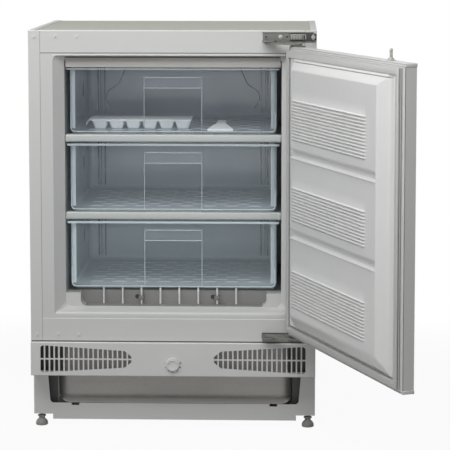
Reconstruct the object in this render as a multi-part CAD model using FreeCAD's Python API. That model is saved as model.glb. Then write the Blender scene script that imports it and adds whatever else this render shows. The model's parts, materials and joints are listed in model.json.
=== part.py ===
import FreeCAD, Part
import math
import os
from FreeCAD import Rotation, Vector

# Undercounter freezer with its door open, in millimetres.
# X runs to the right, Y to the back and Z up. The origin is on the floor, at the centre of the four feet.

# Cabinet
cabinet_width = 596.0
cabinet_depth = 510.0
cabinet_height = 842.0
sheet = 0.8
side_wall = 72.0
top_wall = 56.0
rear_wall = 66.0
condenser_depth = 19.0
front_strip = 24.0
top_flange = 13.0
rail_return = 18.0
seam = 0.6
top_rail_height = 46.5
bottom_rail_height = 39.0
body_bottom = 192.0
machine_roof = 228.0
machine_depth = 216.0
roof_slope = 25.0
fit_gap = 0.3

# Liner
liner_wall = 2.0
mouth_side = 22.0
mouth_top = 5.0
mouth_bottom = 22.0
mouth_depth = 22.0
trough_floor = 262.0
step_floor = 290.0
step_setback = 60.0
trough_side = 31.0
trough_corner = 13.0
liner_corner = 12.0

# Shelves and rack
tube_radius = 4.0
wire_radius = 1.2
shelf_wire_pitch = 20.0
shelf_run_pitch = 40.0
shelf_end_gap = 12.0
ledge_width = 24.0
ledge_height = 6.0
trim_height = 16.0
trim_depth = 20.0
trim_wall = 2.0
riser_inset = 36.0
rack_wire_radius = 1.5
rack_bar_radius = 2.7
rack_wire_pitch = 40.0
rack_wire_count = 8
rack_offset = -9.0
rack_bend = 10.0
rack_clip_wires = (2, 6)
rack_clip_width = 19.0
rack_clip_lap = 5.0
rack_clip_depth = 8.0
rack_clip_height = 9.0

# Drawers
drawer_setback = 25.0
drawer_rear_gap = 20.0
drawer_wall = 2.5
drawer_side_gap = 4.0
drawer_rim = 6.0
drawer_rim_height = 3.0
drawer_corner = 12.0
drawer_bottom_round = 10.0
drawer_seat = 9.0
shelf_stack = 20.0
ceiling_gap = 4.0
top_drawer_drop = 6.0
grip_width = 120.0
grip_depth = 22.0
grip_below_rim = 20.0
grip_lip = 22.0

# Things in the top drawer
tray_cell = 35.0
tray_columns = 6
tray_rows = 2
tray_height = 26.0
tray_wall = 1.4
tray_taper = 4.0
tray_tab = 14.0
tray_left = 24.0
tray_setback = 85.0
scraper_width = 58.0
scraper_blade = 5.0
scraper_body = 62.0
scraper_grip = 20.0
scraper_length = 118.0
scraper_height = 14.0
scraper_gap = 34.6
scraper_setback = 15.0

# Vent panel, thermostat and base
vent_bottom = 119.0
vent_gap = 2.0
vent_proud = 10.0
vent_wall = 3.0
grille_margin = 19.0
grille_length = 194.0
grille_outer_height = 59.0
grille_inner_height = 36.0
grille_tip = 16.0
grille_tip_height = 10.0
grille_corner = 9.0
grille_columns = 19
grille_slot = 7.2
grille_bar = 2.8
knob_radius = 14.5
knob_height = 145.0
knob_thickness = 7.0
knob_ridge = 5.0
shaft_radius = 3.0
shaft_clearance = 0.05
thermostat_width = 44.0
thermostat_height = 40.0
thermostat_depth = 30.0
base_sheet = 1.2
base_setback = 40.0
base_corner_bottom = 26.0
base_middle_bottom = 15.0
base_foot_notch = 40.0
air_opening_bottom = 50.0
air_opening_top = 113.0
air_opening_side = 30.0
air_opening_taper = 5.0
air_opening_corner = 8.0
clip_notch_width = 16.0
clip_notch_depth = 5.0
clip_notch_inset = 88.0
duct_side = 48.0
duct_setback = 26.0
duct_depth = 66.0
duct_bottom = 40.0
duct_round = 26.0
rail_flange = 36.0
pan_depth = 206.0
pan_side_lap = 6.0
pan_lip = 32.0

# Feet
foot_side_inset = 15.0
foot_setback = 51.0
sole_radius = 13.0
sole_height = 5.0
foot_hex = 22.0
foot_hex_height = 10.0
foot_shoulder_radius = 10.0
foot_neck_radius = 6.5
foot_neck_height = 7.0
stud_radius = 4.0
stud_clearance = 0.08
stud_length = 63.0
insert_radius = 9.0
insert_height = 18.0

# Compressor and cooling circuit
compressor_side = 178.0
compressor_rear = 96.0
compressor_radius = 78.0
compressor_height = 148.0
compressor_seam = 4.0
compressor_dome = 42.0
compressor_crown = 32.0
mount_height = 12.0
mount_plate = 2.5
mount_length = 190.0
mount_width = 140.0
mount_inset = 14.0
grommet_radius = 10.0
bolt_radius = 4.0
bolt_head = 6.5
bolt_head_height = 4.0
terminal_width = 52.0
terminal_height = 60.0
terminal_depth = 20.0
terminal_lift = 42.1
drip_length = 130.0
drip_width = 112.0
drip_height = 20.0
drip_wall = 2.0
pipe_radius = 3.2
capillary_radius = 1.2
pipe_bend = 14.0
condenser_pitch = 48.0
condenser_runs = 11
condenser_lift = 34.0
condenser_side = 83.0
condenser_wire_radius = 1.0
condenser_wire_pitch = 20.0
condenser_overhang = 12.0
feed_offset = 35.0
bracket_width = 9.0
bracket_height = 22.0
drier_radius = 10.0
drier_length = 88.0
drier_cone = 10.0
drier_side = 158.0
drier_rear = 22.0
drier_lift = 33.6
gland_side = 68.0
gland_radius = 9.0
gland_flange = 13.0
gland_flange_thickness = 3.0
gland_bore = 4.2

# Door
door_side_gap = 2.0
door_bottom = 215.0
door_top_gap = 30.0
door_thickness = 23.0
gasket_depth = 10.0
gasket_width = 14.0
gasket_inset = 8.0
gasket_edge = 1.0
gasket_step = 3.0
gasket_head = 5.0
end_cap = 7.0
plug_height = 23.0
plug_hinge_side = 50.0
plug_hinge_slope = 20.0
plug_free_side = 32.0
plug_free_slope = 45.0
plug_bottom = 28.0
plug_bottom_slope = 27.0
plug_top = 27.0
plug_top_slope = 19.0
door_liner_wall = 2.0
channel_drop = 30.0
channel_width = 10.0
channel_depth = 14.0
channel_slope = 3.0
louvre_count = 17
louvre_pitch = 4.8
louvre_width = 3.6
louvre_height = 1.6
louvre_start = 22.0
louvre_hinge_inset = 8.0
louvre_free_inset = 47.0
stud_from_edge = 90.0
furniture_stud_radius = 3.0
furniture_stud_height = 22.0
furniture_thread_radius = 2.6
cone_nut_radius = 8.0
cone_nut_height = 6.0

# Hinges
arm_pivot_inset = 98.0
door_pivot_inset = 27.0
pivot_setback = 20.0
arm_turn = 33.0
door_turn = 110.5
hinge_pin_radius = 4.0
pin_clearance = 0.05
hinge_plate_thickness = 3.0
hinge_plate_length = 105.0
hinge_plate_inset = 6.0
hinge_plate_height = 19.0
hinge_tongue_width = 28.0
hinge_tongue_reach = 34.0
arm_thickness = 4.0
arm_radius = 9.0
leaf_gap = 0.5
screw_radius = 2.5
screw_head_radius = 5.0
screw_head_height = 2.0
screw_inset = 30.0
screw_pitch = 38.0
plug_cap_radius = 4.5
plug_cap_height = 1.2
plug_hole_radius = 3.0
plug_first_inset = 12.6
plug_pitch = 44.0
plug_edge = 13.0

# Places worked out from the sizes above
half_width = cabinet_width / 2
front_y = -cabinet_depth / 2
rear_y = cabinet_depth / 2
back_y = rear_y - condenser_depth
inner_x = half_width - sheet
strip_x = half_width - front_strip
cavity_x = half_width - side_wall
cavity_top = cabinet_height - top_wall
cavity_back = back_y - rear_wall
mouth_y = front_y + mouth_depth
step_y = front_y + step_setback
top_rail_z = cabinet_height - top_rail_height
bottom_rail_z = body_bottom + bottom_rail_height
vent_top = body_bottom - vent_gap
vent_front = front_y - vent_proud
base_y = front_y + base_setback
drawer_y = front_y + drawer_setback
drawer_back = cavity_back - drawer_rear_gap
rim_x = cavity_x - drawer_side_gap
tub_x = rim_x - drawer_rim
tray_right = -tub_x + tray_left + tray_tab + tray_cell * tray_columns + tray_wall
scraper_x = tray_right + scraper_gap + scraper_width / 2
first_drawer_z = step_floor + drawer_seat
drawer_pitch = (cavity_top - ceiling_gap - first_drawer_z + top_drawer_drop) / 3
drawer_floors = [first_drawer_z + drawer_pitch * i for i in range(3)]
drawer_height = drawer_pitch - shelf_stack
drawer_heights = [drawer_height, drawer_height, drawer_height - top_drawer_drop]
pan_z = base_corner_bottom + base_sheet
pan_top = pan_z + base_sheet
pan_x = half_width - rail_flange + pan_side_lap
mount_z = pan_top + mount_height
shell_z = mount_z + mount_plate
machine_y = back_y - machine_depth
compressor_x = half_width - compressor_side
compressor_y = back_y - compressor_rear
terminal_bottom = shell_z + terminal_lift
drier_x = -half_width + drier_side
drier_y = back_y - drier_rear
drier_bottom = pan_top + drier_lift
gland_x = -pan_x + gland_side
condenser_start = machine_roof + condenser_lift
condenser_y = rear_y - 2 * condenser_wire_radius - pipe_radius
condenser_x = half_width - condenser_side
condenser_top = condenser_start + condenser_pitch * (condenser_runs - 1)
door_x = half_width - door_side_gap
door_top = cabinet_height - door_top_gap
door_inner = front_y - gasket_depth
door_outer = door_inner - door_thickness
plug_face = door_inner + plug_height
pad_free_x = plug_free_side + plug_free_slope - door_x
pad_hinge_x = door_x - plug_hinge_side - plug_hinge_slope
arm_pivot = Vector(half_width - arm_pivot_inset, front_y - pivot_setback, 0)
door_pivot_closed = Vector(half_width - door_pivot_inset, front_y - pivot_setback, 0)
foot_x = half_width - foot_side_inset
foot_y = cabinet_depth / 2 - foot_setback
foot_places = {
    "front_left": Vector(-foot_x, -foot_y, 0),
    "front_right": Vector(foot_x, -foot_y, 0),
    "rear_left": Vector(-foot_x, foot_y, 0),
    "rear_right": Vector(foot_x, foot_y, 0),
}
overshoot = 1.0


def box(x0, x1, y0, y1, z0, z1):
    """A block between two corners."""
    return Part.makeBox(x1 - x0, y1 - y0, z1 - z0, Vector(x0, y0, z0))


def wide_box(half, y0, y1, z0, z1):
    """A block as wide to the left as to the right."""
    return box(-half, half, y0, y1, z0, z1)


def prism_between(points, x0, x1):
    """An outline of (y, z) points drawn out from one place on X to another."""
    corners = [Vector(x0, y, z) for y, z in points]
    face = Part.Face(Part.makePolygon(corners + corners[:1]))
    return face.extrude(Vector(x1 - x0, 0, 0))


def prism_x(points, half):
    """An outline of (y, z) points drawn out to both sides."""
    return prism_between(points, -half, half)


def prism_y(points, y0, y1):
    """An outline of (x, z) points drawn out from y0 to y1."""
    corners = [Vector(x, y0, z) for x, z in points]
    face = Part.Face(Part.makePolygon(corners + corners[:1]))
    return face.extrude(Vector(0, y1 - y0, 0))


def rod(start, end, radius):
    """A round bar from one point to another."""
    return Part.makeCylinder(radius, (end - start).Length, start, end - start)


def upright(x, y, z0, z1, radius):
    """A vertical round bar."""
    return rod(Vector(x, y, z0), Vector(x, y, z1), radius)


def along_y(shape):
    """The straight edges that run front to back."""
    return [e for e in shape.Edges if runs_along(e, Vector(0, 1, 0))]


def runs_along(edge, direction):
    """Whether an edge is straight and lies along a direction."""
    if not isinstance(edge.Curve, Part.Line):
        return False
    return edge.tangentAt(edge.FirstParameter).cross(direction).Length < 1e-6


def tub(half, y0, y1, z0, z1, corner, bottom_round):
    """A block with rounded upright corners and a rounded bottom edge."""
    block = wide_box(half, y0, y1, z0, z1)
    posts = [e for e in block.Edges if runs_along(e, Vector(0, 0, 1))]
    block = block.makeFillet(corner, posts)
    rim = [e for e in block.Edges if e.BoundBox.ZMax < z0 + 1e-6]
    return block.makeFillet(bottom_round, rim)


def frame_wire(half, z0, z1, corner, y):
    """A rounded rectangle standing in a plane that faces the front."""
    slab = wide_box(half, y, y + 1, z0, z1)
    slab = slab.makeFillet(corner, along_y(slab))
    faces = [f for f in slab.Faces if f.BoundBox.YMax < y + 1e-6]
    return faces[0].OuterWire


def bent_tube(points, bend, radius):
    """One tube along straight runs that are joined by arcs."""
    edges = []
    start = points[0]
    for before, corner, after in zip(points, points[1:], points[2:]):
        inward = (before - corner).normalize()
        onward = (after - corner).normalize()
        half_angle = inward.getAngle(onward) / 2
        reach = bend / math.tan(half_angle)
        middle = (inward + onward).normalize() * (bend / math.sin(half_angle) - bend)
        arc_start = corner + inward * reach
        arc_end = corner + onward * reach
        if (arc_start - start).Length > 1e-6:
            edges.append(Part.LineSegment(start, arc_start).toShape())
        edges.append(Part.Arc(arc_start, corner + middle, arc_end).toShape())
        start = arc_end
    if (points[-1] - start).Length > 1e-6:
        edges.append(Part.LineSegment(start, points[-1]).toShape())
    return sweep(edges, points[0], points[1] - points[0], radius)


def sweep(edges, start, direction, radius):
    """A round bar that follows joined edges."""
    ring = Part.Wire(Part.makeCircle(radius, start, direction))
    return Part.Wire(edges).makePipeShell([ring], True, False)


def serpentine(half, places, radius):
    """One tube of straight runs across the width, with a half turn between each and the next."""
    edges = []
    side = 1
    for here, there in zip(places, places[1:] + [None]):
        reach = Vector(side * half, 0, 0)
        edges.append(Part.LineSegment(here + reach, here - reach).toShape())
        side = -side
        if there is None:
            break
        turn = (there - here).Length / 2
        middle = (here + there) / 2 + Vector(side * (half + turn), 0, 0)
        edges.append(Part.Arc(here - reach, middle, there - reach).toShape())
    return sweep(edges, places[0] + Vector(half, 0, 0), Vector(-1, 0, 0), radius)


def mirrored(shape):
    """The same shape on the other side."""
    return shape.mirror(Vector(0, 0, 0), Vector(1, 0, 0))


def turned(shape, pivot, angle):
    """A shape turned about an upright axis."""
    copy = shape.copy()
    copy.rotate(pivot, Vector(0, 0, 1), angle)
    return copy


def open_arm(shape):
    """An arm piece brought from the closed place to the open one."""
    return turned(shape, arm_pivot, -arm_turn)


def open_door(shape):
    """A door piece brought from the closed place to the open one."""
    pivot_open = arm_pivot + Rotation(Vector(0, 0, 1), -arm_turn).multVec(door_pivot_closed - arm_pivot)
    copy = turned(shape, door_pivot_closed, door_turn)
    copy.translate(pivot_open - door_pivot_closed)
    return copy


def group(shapes):
    """Separate solids kept in one node."""
    return Part.Compound(list(shapes))


# Blanking plugs and screws
def plug_places():
    """Where the spare hinge holes are: on the left, at the top and at the bottom."""
    rows = [cabinet_height - plug_edge, body_bottom + plug_edge]
    first = -half_width + plug_first_inset
    return [Vector(first + plug_pitch * i, front_y, z) for z in rows for i in range(3)]


def plug_holes():
    return group(rod(p, p + Vector(0, sheet, 0), plug_hole_radius) for p in plug_places())


def hole_plugs():
    plugs = []
    for place in plug_places():
        cap = rod(place - Vector(0, plug_cap_height, 0), place, plug_cap_radius)
        stem = rod(place, place + Vector(0, sheet, 0), plug_hole_radius)
        plugs.append(cap.fuse(stem).removeSplitter())
    return group(plugs)


# Outer body
def side_panel():
    """The left panel: a flat wall, a strip on the front and a flange over the top."""
    wall = box(-half_width, -inner_x, front_y, back_y, vent_bottom, cabinet_height)
    strip = box(-half_width, -strip_x, front_y, front_y + sheet, body_bottom, cabinet_height)
    flange_z = cabinet_height - sheet
    flange = box(-half_width, -half_width + top_flange, front_y, back_y, flange_z, cabinet_height)
    return wall.fuse([strip, flange]).removeSplitter()


def side_panel_left():
    return side_panel().cut(plug_holes())


def side_panel_right():
    return mirrored(side_panel())


def top_panel():
    z = cabinet_height - sheet
    return wide_box(inner_x, front_y + sheet, back_y - sheet, z - sheet, z)


def back_panel():
    return wide_box(inner_x, back_y - sheet, back_y, machine_roof, cabinet_height - sheet)


def roof_line(lift):
    """The underside of the insulated body, from front to back."""
    return [
        (front_y + sheet, body_bottom + lift),
        (machine_y, body_bottom + lift),
        (machine_y + roof_slope, machine_roof + lift),
        (back_y - sheet, machine_roof + lift),
    ]


def bottom_panel():
    return prism_x(roof_line(0) + roof_line(sheet)[::-1], inner_x)


def front_top_rail():
    half = strip_x - seam
    face = wide_box(half, front_y, front_y + sheet, top_rail_z, cabinet_height)
    top = wide_box(half, front_y, front_y + rail_return, cabinet_height - sheet, cabinet_height)
    return face.fuse(top).removeSplitter().cut(plug_holes().fuse(screw_holes()))


def front_bottom_rail():
    half = strip_x - seam
    face = wide_box(half, front_y, front_y + sheet, body_bottom - sheet, bottom_rail_z)
    flange = wide_box(half, front_y, front_y + rail_return, body_bottom - sheet, body_bottom)
    return face.fuse(flange).removeSplitter().cut(plug_holes().fuse(screw_holes()))


def cavity(grow):
    """The cold space with its flared mouth, grown by a wall where the liner's outside is wanted."""
    narrow = [cavity_x + grow, trough_floor - grow, cavity_top + grow]
    wide = [narrow[0] + mouth_side, narrow[1] - mouth_bottom, narrow[2] + mouth_top]
    near = frame_wire(*wide, liner_corner + grow, front_y)
    far = frame_wire(*narrow, liner_corner + grow, mouth_y)
    mouth = Part.makeLoft([near, far], True, True)
    room = wide_box(narrow[0], mouth_y, cavity_back + grow, narrow[1], narrow[2])
    room = room.makeFillet(liner_corner + grow, along_y(room))
    room = room.cut(wide_box(half_width, mouth_y + grow, rear_y, 0, step_floor - grow))
    half = cavity_x - trough_side + grow
    trough = wide_box(half, mouth_y, step_y + grow, narrow[1], step_floor + liner_corner)
    low_edges = [e for e in along_y(trough) if e.BoundBox.ZMax < narrow[1] + 1e-6]
    trough = trough.makeFillet(trough_corner + grow, low_edges)
    return mouth.fuse([room, trough]).removeSplitter()


def liner_flange():
    flange_z0 = bottom_rail_z + seam
    return wide_box(strip_x - seam, front_y, front_y + liner_wall, flange_z0, top_rail_z - seam)


def inner_liner():
    return liner_flange().fuse(cavity(liner_wall)).removeSplitter().cut(cavity(0))


def cabinet_foam():
    top_z = cabinet_height - 2 * sheet
    outline = roof_line(sheet) + [(back_y - sheet, top_z), (front_y + sheet, top_z)]
    return prism_x(outline, inner_x).cut(liner_flange().fuse(cavity(liner_wall)))


# Shelves
def shelf_levels():
    """Heights on which drawers rest, and the like height under the ceiling."""
    return drawer_floors[1:] + [drawer_floors[2] + drawer_heights[2] + shelf_stack]


def shelf_tube_z(level):
    return level - fit_gap - 2 * wire_radius - tube_radius


def evaporator_tubes():
    """Three flat serpentines, and the upright hairpin that joins them at the back wall."""
    first_y = drawer_y + trim_depth + shelf_end_gap
    count = int((cavity_back - shelf_end_gap - first_y) // shelf_run_pitch)
    half = cavity_x - shelf_end_gap - tube_radius - shelf_run_pitch / 2
    tubes = []
    for level in shelf_levels():
        z = shelf_tube_z(level)
        places = [Vector(0, first_y + shelf_run_pitch * i, z) for i in range(count)]
        tubes.append(serpentine(half, places, tube_radius))
    riser_y = cavity_back - tube_radius - fit_gap
    riser_x = -cavity_x + riser_inset
    low = step_floor + tube_radius + fit_gap
    high = cavity_top - tube_radius - fit_gap
    width = 4 * tube_radius
    path = [
        Vector(riser_x, riser_y, high),
        Vector(riser_x, riser_y, low),
        Vector(riser_x + width, riser_y, low),
        Vector(riser_x + width, riser_y, high),
    ]
    tubes.append(bent_tube(path, width / 2, tube_radius))
    return group(tubes)


def shelf_wires():
    count = int((cavity_x - ledge_width) // shelf_wire_pitch)
    wires = []
    for level in shelf_levels():
        z = level - fit_gap - wire_radius
        for i in range(-count, count + 1):
            x = i * shelf_wire_pitch
            front = Vector(x, drawer_y + trim_depth, z)
            wires.append(rod(front, Vector(x, drawer_back, z), wire_radius))
    return group(wires)


def shelf_supports():
    """Ledges on both walls that carry the shelf tubes."""
    ledges = []
    for level in shelf_levels():
        top = shelf_tube_z(level) - tube_radius
        front = drawer_y + trim_depth
        ledge = box(-cavity_x, -cavity_x + ledge_width, front, drawer_back, top - ledge_height, top)
        ledges += [ledge, mirrored(ledge)]
    return group(ledges)


def shelf_trims():
    """Channel strips on the front of the shelves."""
    trims = []
    for level in shelf_levels():
        top = level - overshoot
        outer = wide_box(cavity_x, drawer_y, drawer_y + trim_depth, top - trim_height, top)
        hollow = wide_box(
            cavity_x - trim_wall,
            drawer_y + trim_wall,
            drawer_y + trim_depth + overshoot,
            top - trim_height + trim_wall,
            top - 2 * wire_radius - trim_wall,
        )
        trims.append(outer.common(cavity(0)).cut(hollow))
    return group(trims)


def rack_wire_z():
    return first_drawer_z - fit_gap - rack_wire_radius


def rack_wire_x(index):
    return rack_offset + (index - (rack_wire_count - 1) / 2) * rack_wire_pitch


def rack_wire_y():
    """The plane of the upright wires, one clip in front of the step."""
    return step_y - rack_clip_depth - rack_wire_radius


def bottom_rack():
    """Bent wires over the step and down its front, on round cross bars."""
    wires = []
    for i in range(rack_wire_count):
        x = rack_wire_x(i)
        path = [
            Vector(x, drawer_back, rack_wire_z()),
            Vector(x, rack_wire_y(), rack_wire_z()),
            Vector(x, rack_wire_y(), trough_floor + fit_gap),
        ]
        wires.append(bent_tube(path, rack_bend, rack_wire_radius))
    bar_z = rack_wire_z() - rack_wire_radius - rack_bar_radius
    half = cavity_x - drawer_side_gap - liner_corner
    for y in [step_y + ledge_width, 0, drawer_back - ledge_width]:
        wires.append(rod(Vector(-half, y, bar_z), Vector(half, y, bar_z), rack_bar_radius))
    return group(wires)


def rack_clips():
    """Two clips that hold upright wires to the step."""
    y0 = rack_wire_y() + rack_wire_radius
    z0 = (trough_floor + step_floor - rack_clip_height) / 2
    clips = []
    for index in rack_clip_wires:
        x1 = rack_wire_x(index) + rack_clip_lap
        clips.append(box(x1 - rack_clip_width, x1, y0, step_y, z0, z0 + rack_clip_height))
    return group(clips)


# Drawers and what lies in the top one
def drawer(index):
    """A clear tub with a rim, and a grip pocket behind a lip in the front."""
    floor = drawer_floors[index]
    top = floor + drawer_heights[index]
    outer = tub(tub_x, drawer_y, drawer_back, floor, top, drawer_corner, drawer_bottom_round)
    inner = tub(
        tub_x - drawer_wall,
        drawer_y + drawer_wall,
        drawer_back - drawer_wall,
        floor + drawer_wall,
        top + drawer_bottom_round,
        drawer_corner - drawer_wall,
        drawer_bottom_round - drawer_wall,
    )
    rim = wide_box(rim_x, drawer_y - drawer_rim, drawer_back + drawer_rim, top - drawer_rim_height, top)
    posts = [e for e in rim.Edges if runs_along(e, Vector(0, 0, 1))]
    shell = outer.fuse(rim.makeFillet(drawer_corner + drawer_rim, posts)).cut(inner)
    grip_top = top - grip_below_rim
    half = grip_width / 2
    pocket_back = drawer_y + grip_depth
    casing = wide_box(half + drawer_wall, drawer_y, pocket_back + drawer_wall, floor, grip_top + drawer_wall)
    pocket = wide_box(half, drawer_y - overshoot, pocket_back, floor - overshoot, grip_top)
    lip = wide_box(half, drawer_y, drawer_y + drawer_wall, grip_top - grip_lip, grip_top)
    return shell.fuse(casing).cut(pocket).fuse(lip).removeSplitter()


def frustum(x0, x1, y0, y1, z0, z1, taper):
    """A block that narrows downwards."""
    top = Part.makePlane(x1 - x0, y1 - y0, Vector(x0, y0, z1)).OuterWire
    low_corner = Vector(x0 + taper, y0 + taper, z0)
    low = Part.makePlane(x1 - x0 - 2 * taper, y1 - y0 - 2 * taper, low_corner).OuterWire
    return Part.makeLoft([low, top], True, True)


def tray_origin():
    """The front left corner of the tray, on the floor of the top drawer."""
    floor = drawer_floors[2] + drawer_wall + fit_gap
    return Vector(-tub_x + tray_left, drawer_y + tray_setback, floor)


def ice_tray():
    """Rows of tapered cells under one plate, with a hooked tab at the left end."""
    corner = tray_origin()
    width = tray_cell * tray_rows
    top = corner.z + tray_height
    x0 = corner.x + tray_tab
    plate = box(corner.x, tray_right, corner.y, corner.y + width, top - tray_wall, top)
    tab = box(corner.x, corner.x + tray_wall, corner.y, corner.y + width, top - tray_height / 2, top)
    body = [plate, tab]
    hollows = []
    for column in range(tray_columns):
        for row in range(tray_rows):
            x = x0 + tray_cell * column
            y = corner.y + tray_cell * row
            body.append(frustum(x, x + tray_cell, y, y + tray_cell, corner.z, top, tray_taper))
            near = tray_wall
            far = tray_cell - tray_wall
            hollows.append(frustum(x + near, x + far, y + near, y + far, corner.z + near, top, tray_taper))
    return body[0].fuse(body[1:]).cut(group(hollows)).removeSplitter()


def ice_scraper():
    """A flat blade towards the front, widening back into a raised grip."""
    floor = drawer_floors[2] + drawer_wall + fit_gap
    y0 = drawer_y + grip_depth + scraper_setback
    sections = [
        (scraper_width, scraper_blade, y0),
        (scraper_grip, scraper_height, y0 + scraper_body),
        (scraper_grip, scraper_height, y0 + scraper_length),
    ]
    wires = []
    for width, height, y in sections:
        outline = ring(-width / 2, width / 2, floor, floor + height)
        wires.append(Part.makePolygon([Vector(scraper_x + x, y, z) for x, z in outline]))
    blade = Part.makeLoft(wires[:2], True, True)
    grip = Part.makeLoft(wires[1:], True, True)
    return blade.fuse(grip).removeSplitter()


# Vent panel and thermostat
def grille_middle():
    return (vent_bottom + vent_top) / 2


def grille_outline():
    """The left grille's opening: a long shape that narrows towards a rounded tip."""
    x0 = -half_width + grille_margin
    x1 = x0 + grille_length
    z = grille_middle()
    outer = grille_outer_height / 2
    inner = grille_inner_height / 2
    shoulder = x1 - grille_tip
    tip = grille_tip_height / 2
    points = [(x0, z - outer), (shoulder, z - inner), (x1, z - tip)]
    points += [(x1, z + tip), (shoulder, z + inner), (x0, z + outer)]
    block = prism_y(points, vent_front - overshoot, vent_front + vent_wall + overshoot)
    corners = [e for e in along_y(block) if e.BoundBox.XMax < x0 + 1e-6]
    block = block.makeFillet(grille_corner, corners)
    shoulders = [e for e in along_y(block) if abs(e.BoundBox.XMax - shoulder) < 1e-6]
    return block.makeFillet(grille_corner, shoulders)


def grille_slots():
    """Upright slots in two rows, cut to the grille's outline."""
    x0 = -half_width + grille_margin
    pitch = grille_length / grille_columns
    z = grille_middle()
    columns = []
    for i in range(grille_columns):
        x = x0 + pitch * i + (pitch - grille_slot) / 2
        y1 = vent_front + vent_wall + 2 * overshoot
        for z0, z1 in ((vent_bottom, z - grille_bar / 2), (z + grille_bar / 2, vent_top)):
            columns.append(box(x, x + grille_slot, vent_front - 2 * overshoot, y1, z0, z1))
    slots = group(columns).common(grille_outline())
    return group([slots, mirrored(slots)])


def shaft_hole():
    start = Vector(0, vent_front - overshoot, knob_height)
    end = Vector(0, vent_front + thermostat_depth, knob_height)
    return rod(start, end, shaft_radius + shaft_clearance)


def vent_panel():
    front = wide_box(half_width, vent_front, front_y, vent_bottom, vent_top)
    edges = [e for e in front.Edges if e.BoundBox.YMax < vent_front + 1e-6]
    front = front.makeFillet(vent_wall / 2, edges)
    hollow = wide_box(
        half_width - vent_wall,
        vent_front + vent_wall,
        front_y + overshoot,
        vent_bottom + vent_wall,
        vent_top - vent_wall,
    )
    return front.cut(hollow).cut(grille_slots()).cut(shaft_hole())


def thermostat_body():
    y0 = vent_front + vent_wall
    z0 = knob_height - thermostat_height / 2 + vent_wall
    case = wide_box(thermostat_width / 2, y0, y0 + thermostat_depth, z0, z0 + thermostat_height)
    return case.cut(shaft_hole())


def thermostat_knob():
    face = vent_front - fit_gap
    centre = Vector(0, face, knob_height)
    disc = rod(centre, centre - Vector(0, knob_thickness - knob_ridge / 2, 0), knob_radius)
    low = knob_height - knob_radius / 2
    ridge = wide_box(knob_ridge / 2, face - knob_thickness, face, low, low + knob_radius)
    shaft = rod(centre, Vector(0, vent_front + vent_wall + thermostat_depth / 2, knob_height), shaft_radius)
    return disc.fuse([ridge, shaft]).removeSplitter()


# Base
def base_front_plate():
    """A recessed plate with a wide air opening, cut up at the corners for the feet."""
    notch = half_width - base_foot_notch
    outline = [
        (-half_width, vent_bottom),
        (-half_width, base_corner_bottom),
        (-notch, base_corner_bottom),
        (-notch, base_middle_bottom),
        (notch, base_middle_bottom),
        (notch, base_corner_bottom),
        (half_width, base_corner_bottom),
        (half_width, vent_bottom),
    ]
    plate = prism_y(outline, base_y, base_y + base_sheet)
    top_half = half_width - air_opening_side
    low_half = top_half - air_opening_taper
    opening = [(-low_half, air_opening_bottom), (low_half, air_opening_bottom)]
    opening += [(top_half, air_opening_top), (-top_half, air_opening_top)]
    hole = prism_y(opening, base_y - overshoot, base_y + base_sheet + overshoot)
    low_corners = [e for e in along_y(hole) if e.BoundBox.ZMax < air_opening_bottom + 1e-6]
    hole = hole.makeFillet(air_opening_corner, low_corners)
    notch_x = half_width - clip_notch_inset
    clip = box(
        notch_x - clip_notch_width / 2,
        notch_x + clip_notch_width / 2,
        base_y - overshoot,
        base_y + base_sheet + overshoot,
        air_opening_bottom - clip_notch_depth,
        air_opening_bottom + clip_notch_depth,
    )
    return plate.cut(hole).cut(group([clip, mirrored(clip)]))


def air_duct_panel():
    """The rounded tub behind the air opening, hung from the bottom panel."""
    half = half_width - duct_side
    y0 = base_y + duct_setback
    outer = tub(half, y0, y0 + duct_depth, duct_bottom, body_bottom, duct_round, duct_round - base_sheet)
    inner = tub(
        half - base_sheet,
        y0 + base_sheet,
        y0 + duct_depth - base_sheet,
        duct_bottom + base_sheet,
        body_bottom + duct_round,
        duct_round - base_sheet,
        duct_round - 2 * base_sheet,
    )
    return outer.cut(inner)


def base_side_rails():
    """Angles along both sides that carry the feet."""
    y0 = base_y + base_sheet
    wall = box(-half_width, -half_width + base_sheet, y0, back_y, base_corner_bottom, vent_bottom)
    flange = box(-half_width, -half_width + rail_flange, y0, back_y, base_corner_bottom, pan_z)
    rail = wall.fuse(flange).removeSplitter()
    for name in ("front_left", "rear_left"):
        place = foot_places[name]
        rail = rail.cut(upright(place.x, place.y, 0, pan_top, stud_radius + sheet))
    return group([rail, mirrored(rail)])


def base_pan():
    """The plate between the side rails that carries the compressor."""
    return wide_box(pan_x, back_y - pan_depth, back_y, pan_z, pan_top)


def rear_cross_strip():
    """The upright strip on the pan's rear edge, with the hole for the cord gland."""
    strip = wide_box(pan_x, back_y - base_sheet, back_y, pan_top, pan_top + pan_lip)
    return strip.cut(gland_stem(gland_radius))


def gland_z():
    return pan_top + pan_lip / 2


def gland_stem(radius):
    start = Vector(gland_x, back_y - base_sheet, gland_z())
    return rod(start, start + Vector(0, base_sheet, 0), radius)


def cord_gland():
    """The bush in the rear lip where the supply cord goes in."""
    inside = Vector(gland_x, back_y - base_sheet - gland_flange_thickness, gland_z())
    depth = Vector(0, gland_flange_thickness, 0)
    outside = Vector(gland_x, back_y, gland_z())
    end = outside + 2 * depth
    stem = rod(inside, end, gland_radius)
    flanges = [rod(p, p + depth, gland_flange) for p in (inside, outside)]
    return stem.fuse(flanges).removeSplitter().cut(rod(inside, end, gland_bore))


def foot_inserts():
    inserts = []
    for place in foot_places.values():
        boss = upright(place.x, place.y, pan_z, pan_z + insert_height, insert_radius)
        bore = upright(place.x, place.y, pan_z, pan_z + insert_height, stud_radius + stud_clearance)
        inserts.append(boss.cut(bore))
    return group(inserts)


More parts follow.
